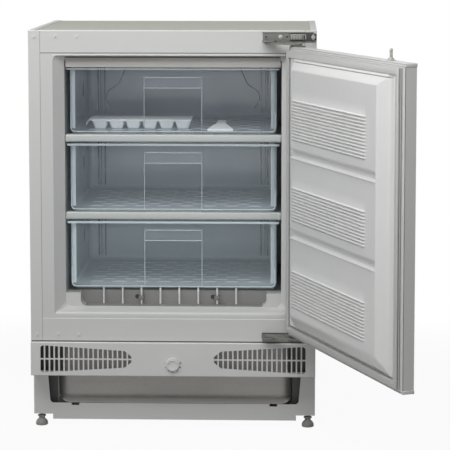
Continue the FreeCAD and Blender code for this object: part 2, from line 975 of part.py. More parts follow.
def foot(name):
    """A round sole, a hexagon for the spanner, a neck and a long stud."""
    place = foot_places[name]
    hex_top = sole_height + foot_hex_height
    neck_top = hex_top + foot_neck_height
    corner = foot_hex / math.sqrt(3)
    turns = [math.radians(60 * i) for i in range(6)]
    corners = [place + Vector(corner * math.cos(a), corner * math.sin(a), sole_height) for a in turns]
    hexagon = Part.Face(Part.makePolygon(corners + corners[:1])).extrude(Vector(0, 0, foot_hex_height))
    sole = upright(place.x, place.y, 0, sole_height, sole_radius)
    neck_base = place + Vector(0, 0, hex_top)
    neck = Part.makeCone(foot_shoulder_radius, foot_neck_radius, foot_neck_height, neck_base)
    stud = upright(place.x, place.y, neck_top, neck_top + stud_length, stud_radius)
    return sole.fuse([hexagon, neck, stud]).removeSplitter()


# Compressor and cooling circuit
def mount_corners():
    dx = mount_length / 2 - mount_inset
    dy = mount_width / 2 - mount_inset
    return [(compressor_x + sx * dx, compressor_y + sy * dy) for sx in (-1, 1) for sy in (-1, 1)]


def compressor_mounting_plate():
    x0 = compressor_x - mount_length / 2
    y0 = compressor_y - mount_width / 2
    plate = box(x0, x0 + mount_length, y0, y0 + mount_width, mount_z, shell_z)
    return plate.cut(group(upright(x, y, mount_z, shell_z, bolt_radius) for x, y in mount_corners()))


def compressor_grommets():
    rings = []
    for x, y in mount_corners():
        ring = upright(x, y, pan_top, mount_z, grommet_radius)
        rings.append(ring.cut(upright(x, y, pan_top, mount_z, bolt_radius)))
    return group(rings)


def compressor_bolts():
    bolts = []
    for x, y in mount_corners():
        shank = upright(x, y, pan_top, shell_z, bolt_radius)
        head = upright(x, y, shell_z, shell_z + bolt_head_height, bolt_head)
        bolts.append(shank.fuse(head).removeSplitter())
    return group(bolts)


def compressor_shell():
    """Two drawn cups with a weld seam round the middle."""
    top = shell_z + compressor_height
    middle = shell_z + compressor_height / 2
    r = compressor_radius
    foot_r = r - mount_inset * 2
    outline = [
        (0, shell_z),
        (foot_r, shell_z),
        (r, shell_z + compressor_dome / 2),
        (r, middle - compressor_seam),
        (r + compressor_seam, middle),
        (r, middle + compressor_seam),
        (r, top - compressor_dome),
        (compressor_crown, top),
        (0, top),
    ]
    points = [Vector(compressor_x + x, compressor_y, z) for x, z in outline]
    edges = [Part.LineSegment(a, b).toShape() for a, b in zip(points[:-3], points[1:-2])]
    shoulder = points[-3]
    crown = points[-2]
    span = shoulder.x - crown.x
    bend = (span**2 + compressor_dome**2) / (2 * compressor_dome)
    middle_angle = (math.pi / 2 + math.asin((bend - compressor_dome) / bend)) / 2
    bulge = crown + Vector(bend * math.cos(middle_angle), 0, bend * (math.sin(middle_angle) - 1))
    edges.append(Part.Arc(shoulder, bulge, crown).toShape())
    edges.append(Part.LineSegment(crown, points[-1]).toShape())
    edges.append(Part.LineSegment(points[-1], points[0]).toShape())
    profile = Part.Face(Part.Wire(edges))
    return profile.revolve(Vector(compressor_x, compressor_y, 0), Vector(0, 0, 1), 360)


def terminal_box():
    x1 = compressor_x - compressor_radius + terminal_depth
    x0 = x1 - 2 * terminal_depth
    y0 = compressor_y - terminal_width / 2
    case = box(x0, x1, y0, y0 + terminal_width, terminal_bottom, terminal_bottom + terminal_height)
    pieces = case.cut(compressor_shell()).Solids
    return min(pieces, key=lambda solid: solid.BoundBox.XMin)


def drip_tray():
    z0 = shell_z + compressor_height
    x0 = compressor_x - drip_length / 2
    y0 = compressor_y - drip_width / 2
    outer = box(x0, x0 + drip_length, y0, y0 + drip_width, z0, z0 + drip_height)
    w = drip_wall
    inner_top = z0 + drip_height + overshoot
    inner = box(x0 + w, x0 + drip_length - w, y0 + w, y0 + drip_width - w, z0 + w, inner_top)
    return outer.cut(inner)


def refrigerant_tubes():
    """The pressure tube, the liquid line, the capillary and the suction tube."""
    y = condenser_y
    feed = condenser_x + feed_offset
    outlet_z = shell_z + compressor_height / 4
    pressure = [
        Vector(compressor_x + compressor_radius / 2, compressor_y, outlet_z),
        Vector(feed, compressor_y, outlet_z),
        Vector(feed, y, outlet_z),
        Vector(feed, y, condenser_start),
        Vector(condenser_x, y, condenser_start),
    ]
    turn_z = machine_roof - 2 * pipe_bend
    liquid = [
        Vector(-condenser_x, y, condenser_top),
        Vector(-feed, y, condenser_top),
        Vector(-feed, y, turn_z),
        Vector(-feed, drier_y, turn_z),
        Vector(drier_x, drier_y, turn_z),
        Vector(drier_x, drier_y, drier_bottom + drier_length),
    ]
    capillary = [
        Vector(drier_x, drier_y, drier_bottom),
        Vector(drier_x, drier_y, drier_bottom - pipe_bend),
        Vector(drier_x, drier_y - 3 * pipe_bend, drier_bottom - pipe_bend),
        Vector(drier_x, drier_y - 3 * pipe_bend, machine_roof),
    ]
    suction_x = compressor_x - compressor_radius - 3 * pipe_bend
    suction_z = terminal_bottom + terminal_height + pipe_bend
    suction = [
        Vector(suction_x, compressor_y, machine_roof),
        Vector(suction_x, compressor_y, suction_z),
        Vector(compressor_x - compressor_radius / 2, compressor_y, suction_z),
    ]
    shell = compressor_shell()
    return group(
        [
            bent_tube(pressure, pipe_bend, pipe_radius).cut(shell),
            bent_tube(liquid, pipe_bend, pipe_radius),
            bent_tube(capillary, pipe_bend / 2, capillary_radius),
            bent_tube(suction, pipe_bend, tube_radius).cut(shell),
        ]
    )


def filter_drier():
    top = drier_bottom + drier_length
    body = upright(drier_x, drier_y, drier_bottom + drier_cone, top - drier_cone, drier_radius)
    low = Part.makeCone(pipe_radius, drier_radius, drier_cone, Vector(drier_x, drier_y, drier_bottom))
    high = Part.makeCone(drier_radius, pipe_radius, drier_cone, Vector(drier_x, drier_y, top - drier_cone))
    return body.fuse([low, high]).removeSplitter()


def condenser_tube():
    places = [Vector(0, condenser_y, condenser_start + condenser_pitch * i) for i in range(condenser_runs)]
    return serpentine(condenser_x, places, pipe_radius)


def condenser_wires():
    count = int((condenser_x - bracket_width) // condenser_wire_pitch)
    reach = pipe_radius + condenser_wire_radius
    z0 = condenser_start - condenser_overhang
    z1 = condenser_top + condenser_overhang
    wires = []
    for i in range(-count, count + 1):
        x = i * condenser_wire_pitch
        for y in (condenser_y - reach, condenser_y + reach):
            wires.append(upright(x, y, z0, z1, condenser_wire_radius))
    return group(wires)


def condenser_brackets():
    """Four blocks on the back panel that hold the tube."""
    tube = condenser_tube()
    x = condenser_x - bracket_width / 2
    blocks = []
    for run in (2, condenser_runs - 3):
        z = condenser_start + condenser_pitch * run
        block = box(
            x - bracket_width / 2,
            x + bracket_width / 2,
            back_y,
            condenser_y + pipe_radius / 2,
            z - bracket_height / 2,
            z + bracket_height / 2,
        )
        blocks += [block.cut(tube), mirrored(block).cut(tube)]
    return group(blocks)


# Door, made closed and then opened
def channel(floor, grow):
    """A groove across the door liner in line with a shelf."""
    z0 = floor - channel_drop - grow
    z1 = z0 + channel_width + 2 * grow
    depth = plug_face - channel_depth - grow
    rise = plug_face + overshoot
    points = [(rise, z0 - channel_slope), (depth, z0 + channel_slope)]
    points += [(depth, z1 - channel_slope), (rise, z1 + channel_slope)]
    return prism_between(points, pad_free_x - grow, half_width)


def plug(shrink):
    """The raised middle of the door liner: three pads with two grooves between them."""
    y0 = door_inner - shrink
    y1 = plug_face - shrink
    free = plug_free_side - door_x + shrink
    hinge = door_x - plug_hinge_side - shrink
    low = door_bottom + plug_bottom + shrink
    high = door_top - plug_top - shrink
    base = ring(free, hinge, low, high)
    low += plug_bottom_slope
    high -= plug_top_slope
    face = ring(free + plug_free_slope, hinge - plug_hinge_slope, low, high)
    ends = ((base, y0), (face, y1))
    rings = [Part.makePolygon([Vector(x, y, z) for x, z in outline]) for outline, y in ends]
    body = Part.makeLoft(rings, True, True)
    for floor in drawer_floors[1:]:
        body = body.cut(channel(floor, shrink))
    return body


def ring(left, right, low, high):
    """The corners of an upright rectangle, with the first one repeated."""
    return [(left, low), (right, low), (right, high), (left, high), (left, low)]


def pad_bottoms():
    first = door_bottom + plug_bottom + plug_bottom_slope
    return [first] + [floor - channel_drop + channel_width for floor in drawer_floors[1:]]


def louvres():
    free = pad_free_x + louvre_free_inset
    hinge = pad_hinge_x - louvre_hinge_inset
    ribs = []
    for bottom in pad_bottoms():
        for i in range(louvre_count):
            z = bottom + louvre_start + louvre_pitch * i
            crest = (plug_face + louvre_height, z + louvre_width / 4)
            outline = [(plug_face, z), crest, (plug_face, z + louvre_width)]
            ribs.append(prism_between(outline, free, hinge))
    return ribs


def door_liner():
    low = door_bottom + end_cap
    high = door_top - end_cap
    flange = wide_box(door_x, door_inner - door_liner_wall, door_inner, low, high)
    body = flange.fuse(plug(0)).cut(plug(door_liner_wall)).removeSplitter()
    return open_door(body.fuse(louvres()).removeSplitter())


def door_skin():
    low = door_bottom + end_cap
    high = door_top - end_cap
    outer = wide_box(door_x, door_outer, door_inner - door_liner_wall, low, high)
    inner = wide_box(door_x - sheet, door_outer + sheet, door_inner, low - overshoot, high + overshoot)
    return open_door(outer.cut(inner))


def door_foam():
    block = wide_box(
        door_x - sheet,
        door_outer + sheet,
        door_inner - door_liner_wall,
        door_bottom + end_cap,
        door_top - end_cap,
    )
    return open_door(block.fuse(plug(door_liner_wall)).removeSplitter())


def door_cap(z0):
    cap = wide_box(door_x, door_outer, door_inner, z0, z0 + end_cap)
    posts = [e for e in cap.Edges if runs_along(e, Vector(0, 0, 1))]
    return open_door(cap.makeFillet(sheet * 2, posts))


def door_top_cap():
    return door_cap(door_top - end_cap)


def door_bottom_cap():
    return door_cap(door_bottom)


def door_gasket():
    """A ring with a broad foot and a narrower sealing head."""
    half = door_x - gasket_inset
    low = door_bottom + end_cap + gasket_edge
    high = door_top - end_cap - gasket_edge
    middle = door_inner + gasket_head
    face = front_y - fit_gap
    w = gasket_width
    step = gasket_step
    foot_ring = wide_box(half, door_inner, middle, low, high)
    foot_hole = wide_box(half - w, door_inner - overshoot, middle + overshoot, low + w, high - w)
    head_ring = wide_box(half - step, middle, face, low + step, high - step)
    w = gasket_width - step
    head_hole = wide_box(half - w, middle - overshoot, face + overshoot, low + w, high - w)
    return open_door(foot_ring.cut(foot_hole).fuse(head_ring.cut(head_hole)).removeSplitter())


def furniture_stud():
    """A stud on the door's top edge for hanging the furniture panel, with its cone nut."""
    x = -door_x + stud_from_edge
    y = (door_outer + door_inner) / 2
    nut_top = door_top + cone_nut_height
    thread = upright(x, y, door_top, nut_top, furniture_thread_radius)
    pin = upright(x, y, nut_top, door_top + furniture_stud_height, furniture_stud_radius)
    nut = Part.makeCone(cone_nut_radius, furniture_stud_radius, cone_nut_height, Vector(x, y, door_top))
    return open_door(group([thread.fuse(pin).removeSplitter(), nut.cut(thread)]))


# Hinges, each leaf stacked above the door's top edge or below its bottom edge
def leaf(first, thickness, sign, edge):
    """The heights of a leaf that starts a given way off the door's edge."""
    ends = sorted((edge + sign * first, edge + sign * (first + thickness)))
    return ends[0], ends[1]


bracket_leaf = (0, hinge_plate_thickness)
arm_leaf = (hinge_plate_thickness + leaf_gap, arm_thickness)
tongue_leaf = (hinge_plate_thickness + arm_thickness + 2 * leaf_gap, hinge_plate_thickness)
hinge_sides = ((1, door_top), (-1, door_bottom))


def plate_span(sign):
    """The lowest and highest point of a hinge plate on the cabinet's front."""
    low = door_top + tongue_leaf[0] - leaf_gap if sign > 0 else body_bottom + leaf_gap
    return low, low + hinge_plate_height


def screw_places():
    """Two screws in each hinge plate."""
    x = half_width - hinge_plate_inset - screw_inset
    places = []
    for sign, _ in hinge_sides:
        low, high = plate_span(sign)
        for i in range(2):
            places.append(Vector(x - screw_pitch * i, front_y, (low + high) / 2))
    return places


def screw_holes():
    depth = Vector(0, sheet, 0)
    reach = Vector(0, hinge_plate_thickness, 0)
    return group(rod(p - reach, p + depth, screw_radius) for p in screw_places())


def hinge_plate(sign, edge):
    """A plate on the cabinet's front with a tongue that carries the arm's pin."""
    x1 = half_width - hinge_plate_inset
    low, high = plate_span(sign)
    plate = box(x1 - hinge_plate_length, x1, front_y - hinge_plate_thickness, front_y, low, high)
    z0, z1 = leaf(*tongue_leaf, sign, edge)
    half = hinge_tongue_width / 2
    tongue = box(arm_pivot.x - half, arm_pivot.x + half, front_y - hinge_tongue_reach, front_y, z0, z1)
    tip = [e for e in tongue.Edges if runs_along(e, Vector(0, 0, 1)) and e.BoundBox.YMax < front_y - sheet]
    tongue = tongue.makeFillet(half / 2, tip)
    body = plate.fuse(tongue).removeSplitter()
    return body.cut(screw_holes()).cut(upright(arm_pivot.x, arm_pivot.y, z0, z1, hinge_pin_radius))


def hinge_plate_upper():
    return hinge_plate(*hinge_sides[0])


def hinge_plate_lower():
    return hinge_plate(*hinge_sides[1])


def hinge_screws():
    screws = []
    for place in screw_places():
        outer = place - Vector(0, hinge_plate_thickness, 0)
        shank = rod(outer, place + Vector(0, sheet, 0), screw_radius)
        head = rod(outer - Vector(0, screw_head_height, 0), outer, screw_head_radius)
        screws.append(shank.fuse(head).removeSplitter())
    return group(screws)


def hinge_pins():
    """The pins in the plate tongues, about which the arms turn."""
    pins = []
    for sign, edge in hinge_sides:
        z0, z1 = leaf(arm_leaf[0], tongue_leaf[0] + tongue_leaf[1] - arm_leaf[0], sign, edge)
        pins.append(upright(arm_pivot.x, arm_pivot.y, z0, z1, hinge_pin_radius))
    return group(pins)


def hinge_arm(sign, edge):
    """A flat link between the cabinet's pin and the door's pin."""
    z0, z1 = leaf(*arm_leaf, sign, edge)
    ends = [arm_pivot, door_pivot_closed]
    bar = box(ends[0].x, ends[1].x, ends[0].y - arm_radius, ends[0].y + arm_radius, z0, z1)
    bar = bar.fuse([upright(p.x, p.y, z0, z1, arm_radius) for p in ends]).removeSplitter()
    holes = group(upright(p.x, p.y, z0, z1, hinge_pin_radius + pin_clearance) for p in ends)
    return open_arm(bar.cut(holes))


def hinge_arm_upper():
    return hinge_arm(*hinge_sides[0])


def hinge_arm_lower():
    return hinge_arm(*hinge_sides[1])


def door_hinge_brackets():
    """Plates on the door's top and bottom edges, each with the pin that its arm turns on."""
    brackets = []
    for sign, edge in hinge_sides:
        z0, z1 = leaf(*bracket_leaf, sign, edge)
        pivot = door_pivot_closed
        reach = door_x - pivot.x - door_side_gap
        half = pivot_setback - gasket_depth - door_side_gap
        plate = box(pivot.x - reach, pivot.x + reach, pivot.y - half, pivot.y + half, z0, z1)
        y0, y1 = leaf(0, arm_leaf[0] + arm_leaf[1], sign, edge)
        pin = upright(pivot.x, pivot.y, y0, y1, hinge_pin_radius)
        brackets.append(plate.fuse(pin).removeSplitter())
    return open_door(group(brackets))


nodes = {
    "side_panel_left": side_panel_left,
    "side_panel_right": side_panel_right,
    "top_panel": top_panel,
    "back_panel": back_panel,
    "bottom_panel": bottom_panel,
    "front_top_rail": front_top_rail,
    "front_bottom_rail": front_bottom_rail,
    "cabinet_foam": cabinet_foam,
    "inner_liner": inner_liner,
    "hole_plugs": hole_plugs,
    "evaporator_tubes": evaporator_tubes,
    "shelf_wires": shelf_wires,
    "shelf_supports": shelf_supports,
    "shelf_trims": shelf_trims,
    "bottom_rack": bottom_rack,
    "rack_clips": rack_clips,
    "drawer_bottom": lambda: drawer(0),
    "drawer_middle": lambda: drawer(1),
    "drawer_top": lambda: drawer(2),
    "ice_tray": ice_tray,
    "ice_scraper": ice_scraper,
    "vent_panel": vent_panel,
    "thermostat_body": thermostat_body,
    "thermostat_knob": thermostat_knob,
    "base_front_plate": base_front_plate,
    "air_duct_panel": air_duct_panel,
    "base_side_rails": base_side_rails,
    "base_pan": base_pan,
    "rear_cross_strip": rear_cross_strip,
    "cord_gland": cord_gland,
    "foot_inserts": foot_inserts,
    "compressor_mounting_plate": compressor_mounting_plate,
    "compressor_grommets": compressor_grommets,
    "compressor_bolts": compressor_bolts,
    "compressor_shell": compressor_shell,
    "terminal_box": terminal_box,
    "drip_tray": drip_tray,
    "refrigerant_tubes": refrigerant_tubes,
    "filter_drier": filter_drier,
    "condenser_tube": condenser_tube,
    "condenser_wires": condenser_wires,
    "condenser_brackets": condenser_brackets,
    "hinge_plate_upper": hinge_plate_upper,
    "hinge_plate_lower": hinge_plate_lower,
    "hinge_pins": hinge_pins,
    "hinge_screws": hinge_screws,
    "hinge_arm_upper": hinge_arm_upper,
    "hinge_arm_lower": hinge_arm_lower,
    "door_hinge_brackets": door_hinge_brackets,
    "door_skin": door_skin,
    "door_foam": door_foam,
    "door_liner": door_liner,
    "door_gasket": door_gasket,
    "door_top_cap": door_top_cap,
    "door_bottom_cap": door_bottom_cap,
    "furniture_stud": furniture_stud,
}

os.makedirs("parts", exist_ok=True)
for place_name in foot_places:
    foot(place_name).exportStep(f"parts/foot_{place_name}.step")
for node_name, make in nodes.items():
    make().exportStep(f"parts/{node_name}.step")
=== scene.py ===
import json
import math

import bmesh
import bpy
from bpy.props import FloatProperty, FloatVectorProperty, IntProperty, PointerProperty
from mathutils import Matrix, Vector


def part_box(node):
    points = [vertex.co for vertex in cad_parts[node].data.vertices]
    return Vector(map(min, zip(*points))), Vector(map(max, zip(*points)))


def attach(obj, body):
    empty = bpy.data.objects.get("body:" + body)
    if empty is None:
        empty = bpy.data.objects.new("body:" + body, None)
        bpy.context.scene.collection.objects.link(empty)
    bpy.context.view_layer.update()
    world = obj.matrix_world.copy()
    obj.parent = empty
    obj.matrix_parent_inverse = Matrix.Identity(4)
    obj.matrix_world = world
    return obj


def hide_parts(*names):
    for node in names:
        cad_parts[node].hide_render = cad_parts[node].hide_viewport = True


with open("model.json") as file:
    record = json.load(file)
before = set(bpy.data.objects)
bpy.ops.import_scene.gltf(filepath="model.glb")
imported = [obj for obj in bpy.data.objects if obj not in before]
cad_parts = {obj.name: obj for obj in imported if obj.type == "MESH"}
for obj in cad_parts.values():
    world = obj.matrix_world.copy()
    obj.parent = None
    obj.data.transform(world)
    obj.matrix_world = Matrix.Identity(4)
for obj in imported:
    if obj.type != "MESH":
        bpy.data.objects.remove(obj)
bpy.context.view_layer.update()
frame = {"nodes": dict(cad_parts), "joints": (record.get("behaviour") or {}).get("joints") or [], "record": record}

bl_info = {
    "name": "Undercounter freezer",
    "version": (1, 0, 0),
    "blender": (4, 5, 0),
    "location": "3D View > Sidebar > Freezer",
    "description": "Finishes and modelled pieces of an undercounter freezer with clear drawers",
    "category": "Object",
}

# Places read from the frame, in metres
MM = 0.001
NODES = frame["nodes"]
JOINTS = {joint["name"]: joint for joint in frame["joints"]}
SLOT_OF = {part["node"]: part["material_slot"] for part in frame["record"]["subparts"]}
DRAWERS = {"bottom_drawer": "drawer_bottom", "middle_drawer": "drawer_middle", "top_drawer": "drawer_top"}
FEET = ("front_left", "front_right", "rear_left", "rear_right")
PREFIX = "freezer_"


def turned_about(pivot, degrees):
    """A turn about an upright line through a point."""
    turn = Matrix.Rotation(math.radians(degrees), 4, "Z")
    return Matrix.Translation(pivot) @ turn @ Matrix.Translation(-pivot)


def door_closing():
    """The motion that carries the door from its open place to its closed one."""
    arm, door = JOINTS["hinge_arm_swing"], JOINTS["door_swing"]
    swing = turned_about(Vector(arm["pos_m"]), arm["range_deg"][1])
    return swing @ turned_about(Vector(door["pos_m"]), door["range_deg"][0])


DOOR_OPENING = door_closing().inverted()


def closed_box(node):
    """The lowest and highest corners of a door node with the door shut."""
    closing = DOOR_OPENING.inverted()
    points = [closing @ vert.co for vert in NODES[node].data.vertices]
    low = Vector([min(point[axis] for point in points) for axis in range(3)])
    high = Vector([max(point[axis] for point in points) for axis in range(3)])
    return low, high


# Settings that a user would change
def colour(name, description, value):
    return FloatVectorProperty(
        name=name, description=description, subtype="COLOR", size=3, min=0.0, max=1.0, default=value
    )


def length(name, description, value):
    return FloatProperty(name=name, description=description, unit="LENGTH", precision=4, default=value)


def power(name, description, value):
    return FloatProperty(name=name, description=description, unit="POWER", default=value)


class FreezerColours(bpy.types.PropertyGroup):
    """Colours of the finishes"""

    white_paint: colour("White paint", "Enamel on the panels, rails and door skin", (0.62, 0.625, 0.61))
    # Painted highlight: a lighter white on the folded edges stands in for the light they catch
    edge_highlight_white: colour("Edge white", "Paint on the folded edges that catch the light", (0.88, 0.88, 0.86))
    galvanised: colour("Galvanised steel", "Top panel, back and base sheets", (0.36, 0.365, 0.305))
    duct: colour("Duct sheet", "Panel behind the base opening", (0.335, 0.32, 0.305))
    liner: colour("Liner plastic", "Formed inner liner", (0.60, 0.605, 0.595))
    door_sheet: colour("Door sheet", "Formed inner panel of the door", (0.75, 0.75, 0.745))
    # Painted shade on the step and trough under the bottom drawer
    painted_step_shade: colour("Step grey", "Front of the step under the drawers", (0.27, 0.268, 0.26))
    white_plastic: colour("White plastic", "Vent panel, caps and small mouldings", (0.65, 0.655, 0.64))
    ice_white: colour("Ice ware", "Ice tray and scraper", (0.93, 0.955, 0.96))
    trim_white: colour("Shelf trim", "Strips on the front of the shelves", (0.55, 0.58, 0.575))
    # Painted shade: the strip under the ceiling gets its own tone where it lies in shade
    ceiling_trim_painted_shade: colour("Ceiling trim", "Strip under the ceiling", (0.63, 0.605, 0.575))
    enamel: colour("Wire enamel", "Evaporator tubes and rack wires", (0.85, 0.86, 0.85))
    clear: colour("Clear plastic", "Body of the drawers", (0.70, 0.81, 0.925))
    # Painted highlight: the pale colour of walls seen edge on and of the beads on the drawer fronts
    clear_edge: colour("Clear plastic edge", "Where the drawer wall is seen edge on", (0.72, 0.82, 0.87))
    # Painted highlight: the ripples are paler than the drawer body
    ripple: colour("Clear plastic ripple", "Ripples on the drawers' floors", (0.88, 0.94, 0.97))
    # Painted shade: dark tint for the ribs, slots and rear line in the drawers
    clear_shade: colour("Clear plastic shade", "Ribs and slots in the drawers", (0.07, 0.085, 0.105))
    gasket: colour("Gasket vinyl", "Door seal", (0.55, 0.55, 0.54))
    # Dark plastic also paints the shade in gaps, holes and recesses that are given dark pieces
    dark_plastic: colour("Dark plastic", "Terminal box, gland, baffles and dark gaps", (0.05, 0.05, 0.05))
    black_paint: colour("Black paint", "Compressor and condenser", (0.025, 0.025, 0.026))
    copper: colour("Copper", "Refrigerant tubes and drier", (0.62, 0.30, 0.18))
    rubber: colour("Rubber", "Compressor grommets", (0.03, 0.03, 0.03))
    zinc: colour("Zinc steel", "Plates, arms and pins of the hinges", (0.168, 0.166, 0.153))
    # Bright zinc also paints the highlights on the hinge housings
    bright_zinc: colour("Bright zinc", "Hinge screws, spring housing and furniture stud", (0.42, 0.42, 0.40))
    foot_grey: colour("Foot plastic", "Levelling feet, rack clips and hinge rings", (0.25, 0.255, 0.24))
    foam: colour("Foam", "Insulation", (0.15, 0.13, 0.09))


class DoorLinerSizes(bpy.types.PropertyGroup):
    """Sizes of the door's formed inner panel and seal"""

    rise: length("Rise", "Height of the pads above the flange", 23 * MM)
    hinge_side: length("Hinge side", "Door edge to the foot of the raised middle, at the hinge", 50 * MM)
    hinge_slope: length("Hinge slope", "Width of the slope at the hinge side", 20 * MM)
    free_side: length("Free side", "Door edge to the foot of the raised middle, at the free edge", 45 * MM)
    free_slope: length("Free slope", "Width of the slope at the free edge", 32 * MM)
    bottom_slope: length("Bottom slope", "Height of the lower slope", 27 * MM)
    top_slope: length("Top slope", "Height of the upper slope", 15 * MM)
    seal_width: length("Seal width", "Width of the gasket", 14 * MM)
    seal_gap: length("Seal gap", "Narrow gap between the gasket and the step inside it", 0.1 * MM)
    step: length("Step", "Height of the sloping step inside the gasket", 7.0 * MM)
    step_edge: length("Step edge", "Width of the step's slope", 4.6 * MM)
    lip: length("Lip", "Height of the upper lip beside the gasket", 9.4 * MM)
    lip_crest: length("Lip crest", "Height of the upper lip at its groove", 11.0 * MM)
    lip_wall: length("Lip wall", "Width of the lip's steep outer edge", 0.4 * MM)
    top_foot: length("Top foot", "Height where the upper slope starts", 12.0 * MM)
    groove: length("Groove", "Width of the groove above and below the raised middle", 2.0 * MM)
    groove_depth: length("Groove depth", "Depth of that groove", 4.5 * MM)
    channel_top: length("Channel top", "Shelf level to the top of the channel below it", 15.5 * MM)
    channel_valley: length("Channel valley", "Shelf level to the upper edge of the channel's floor", 20 * MM)
    channel_floor: length("Channel floor", "Shelf level to the lower edge of the channel's floor", 29 * MM)
    channel_bottom: length("Channel bottom", "Shelf level to the lower edge of the channel", 33 * MM)
    channel_depth: length("Channel depth", "Depth of the channel between two pads", 8.0 * MM)
    crest_rise: length("Crest rise", "Height of the rounded crest along a channel's lower edge", 1.4 * MM)
    crest_half: length("Crest half width", "Half the width of that crest", 3.5 * MM)
    louvre_pitch: length("Louvre pitch", "Distance from one louvre ridge to the next", 6.4 * MM)
    end_ease: length("End ease", "Length over which ridges and channels fade at their ends", 6.4 * MM)
    louvre_start: length("Louvre start", "Lower edge of a pad to its first ridge", 18 * MM)
    louvre_hinge_inset: length("Louvre hinge inset", "Pad edge to the ridges at the hinge side", 8 * MM)
    louvre_free_inset: length("Louvre free inset", "Pad edge to the ridges at the free side", 47 * MM)
    wall: length("Wall", "Thickness of the formed sheet", 1.0 * MM)


class DrawerSizes(bpy.types.PropertyGroup):
    """Sizes of the drawers' moulded details"""

    rim_width: length("Rim width", "Rim's overhang past the walls", 6 * MM)
    rim_band: length("Rim band", "Height of the rim's turned-down front edge", 4.4 * MM)
    corner: length("Corner", "Outer radius of the upright corners", 12 * MM)
    # The bright line along the lower edge is a painted highlight
    foot_line: length("Foot line", "Floor to the bright line along the lower edge", 5 * MM)
    grip_half: length("Grip half width", "Half the width of the grip", 60 * MM)
    grip_drop: length("Grip drop", "Rim to the top of the grip", 19 * MM)
    grip_lip: length("Grip lip", "Height of the grip's upper strip", 22 * MM)
    line: length("Line", "Radius of the fine lines round the grip", 0.75 * MM)
    ripple_length: length("Ripple length", "Length of a ripple on the floor", 34 * MM)
    ripple_width: length("Ripple width", "Width of a ripple on the floor", 5 * MM)
    ripple_rise: length("Ripple rise", "Height of a ripple on the floor", 1.2 * MM)
    ripple_columns: IntProperty(name="Ripple columns", description="Ripples across the floor", default=8)
    ripple_rows: IntProperty(name="Ripple rows", description="Rows of ripples from front to back", default=9)


class StageSettings(bpy.types.PropertyGroup):
    """Light and floor of the studio"""

    lens: FloatProperty(
        name="Focal length", description="Lens of the camera", subtype="DISTANCE_CAMERA", default=165.1
    )
    key_power: power("Key power", "Softbox above the front", 28.5)
    fill_power: power("Fill power", "Softbox far in front", 10.0)
    side_power: power("Side power", "Softbox at the left", 6.0)
    ambient: FloatProperty(name="Ambient", description="Light from all round", default=0.07, min=0.0, max=2.0)
    floor_colour: colour("Floor", "Colour of the floor", (0.42, 0.42, 0.42))
    floor_white: FloatProperty(
        name="Floor white", description="Share of plain white in the floor", subtype="FACTOR", default=0.95
    )


def settings():
    """All the settings, by group."""
    scene = bpy.context.scene
    return scene.freezer_colours, scene.freezer_door, scene.freezer_drawers, scene.freezer_stage


# Shader building
class Value:
    """A shader socket that takes part in arithmetic."""

    def __init__(self, shader, socket):
        self.shader = shader
        self.socket = socket

    def __add__(self, other):
        return self.shader.maths("ADD", self, other)

    def __sub__(self, other):
        return self.shader.maths("SUBTRACT", self, other)

    def __rsub__(self, other):
        return self.shader.maths("SUBTRACT", other, self)

    def __mul__(self, other):
        return self.shader.maths("MULTIPLY", self, other)

    __radd__ = __add__
    __rmul__ = __mul__


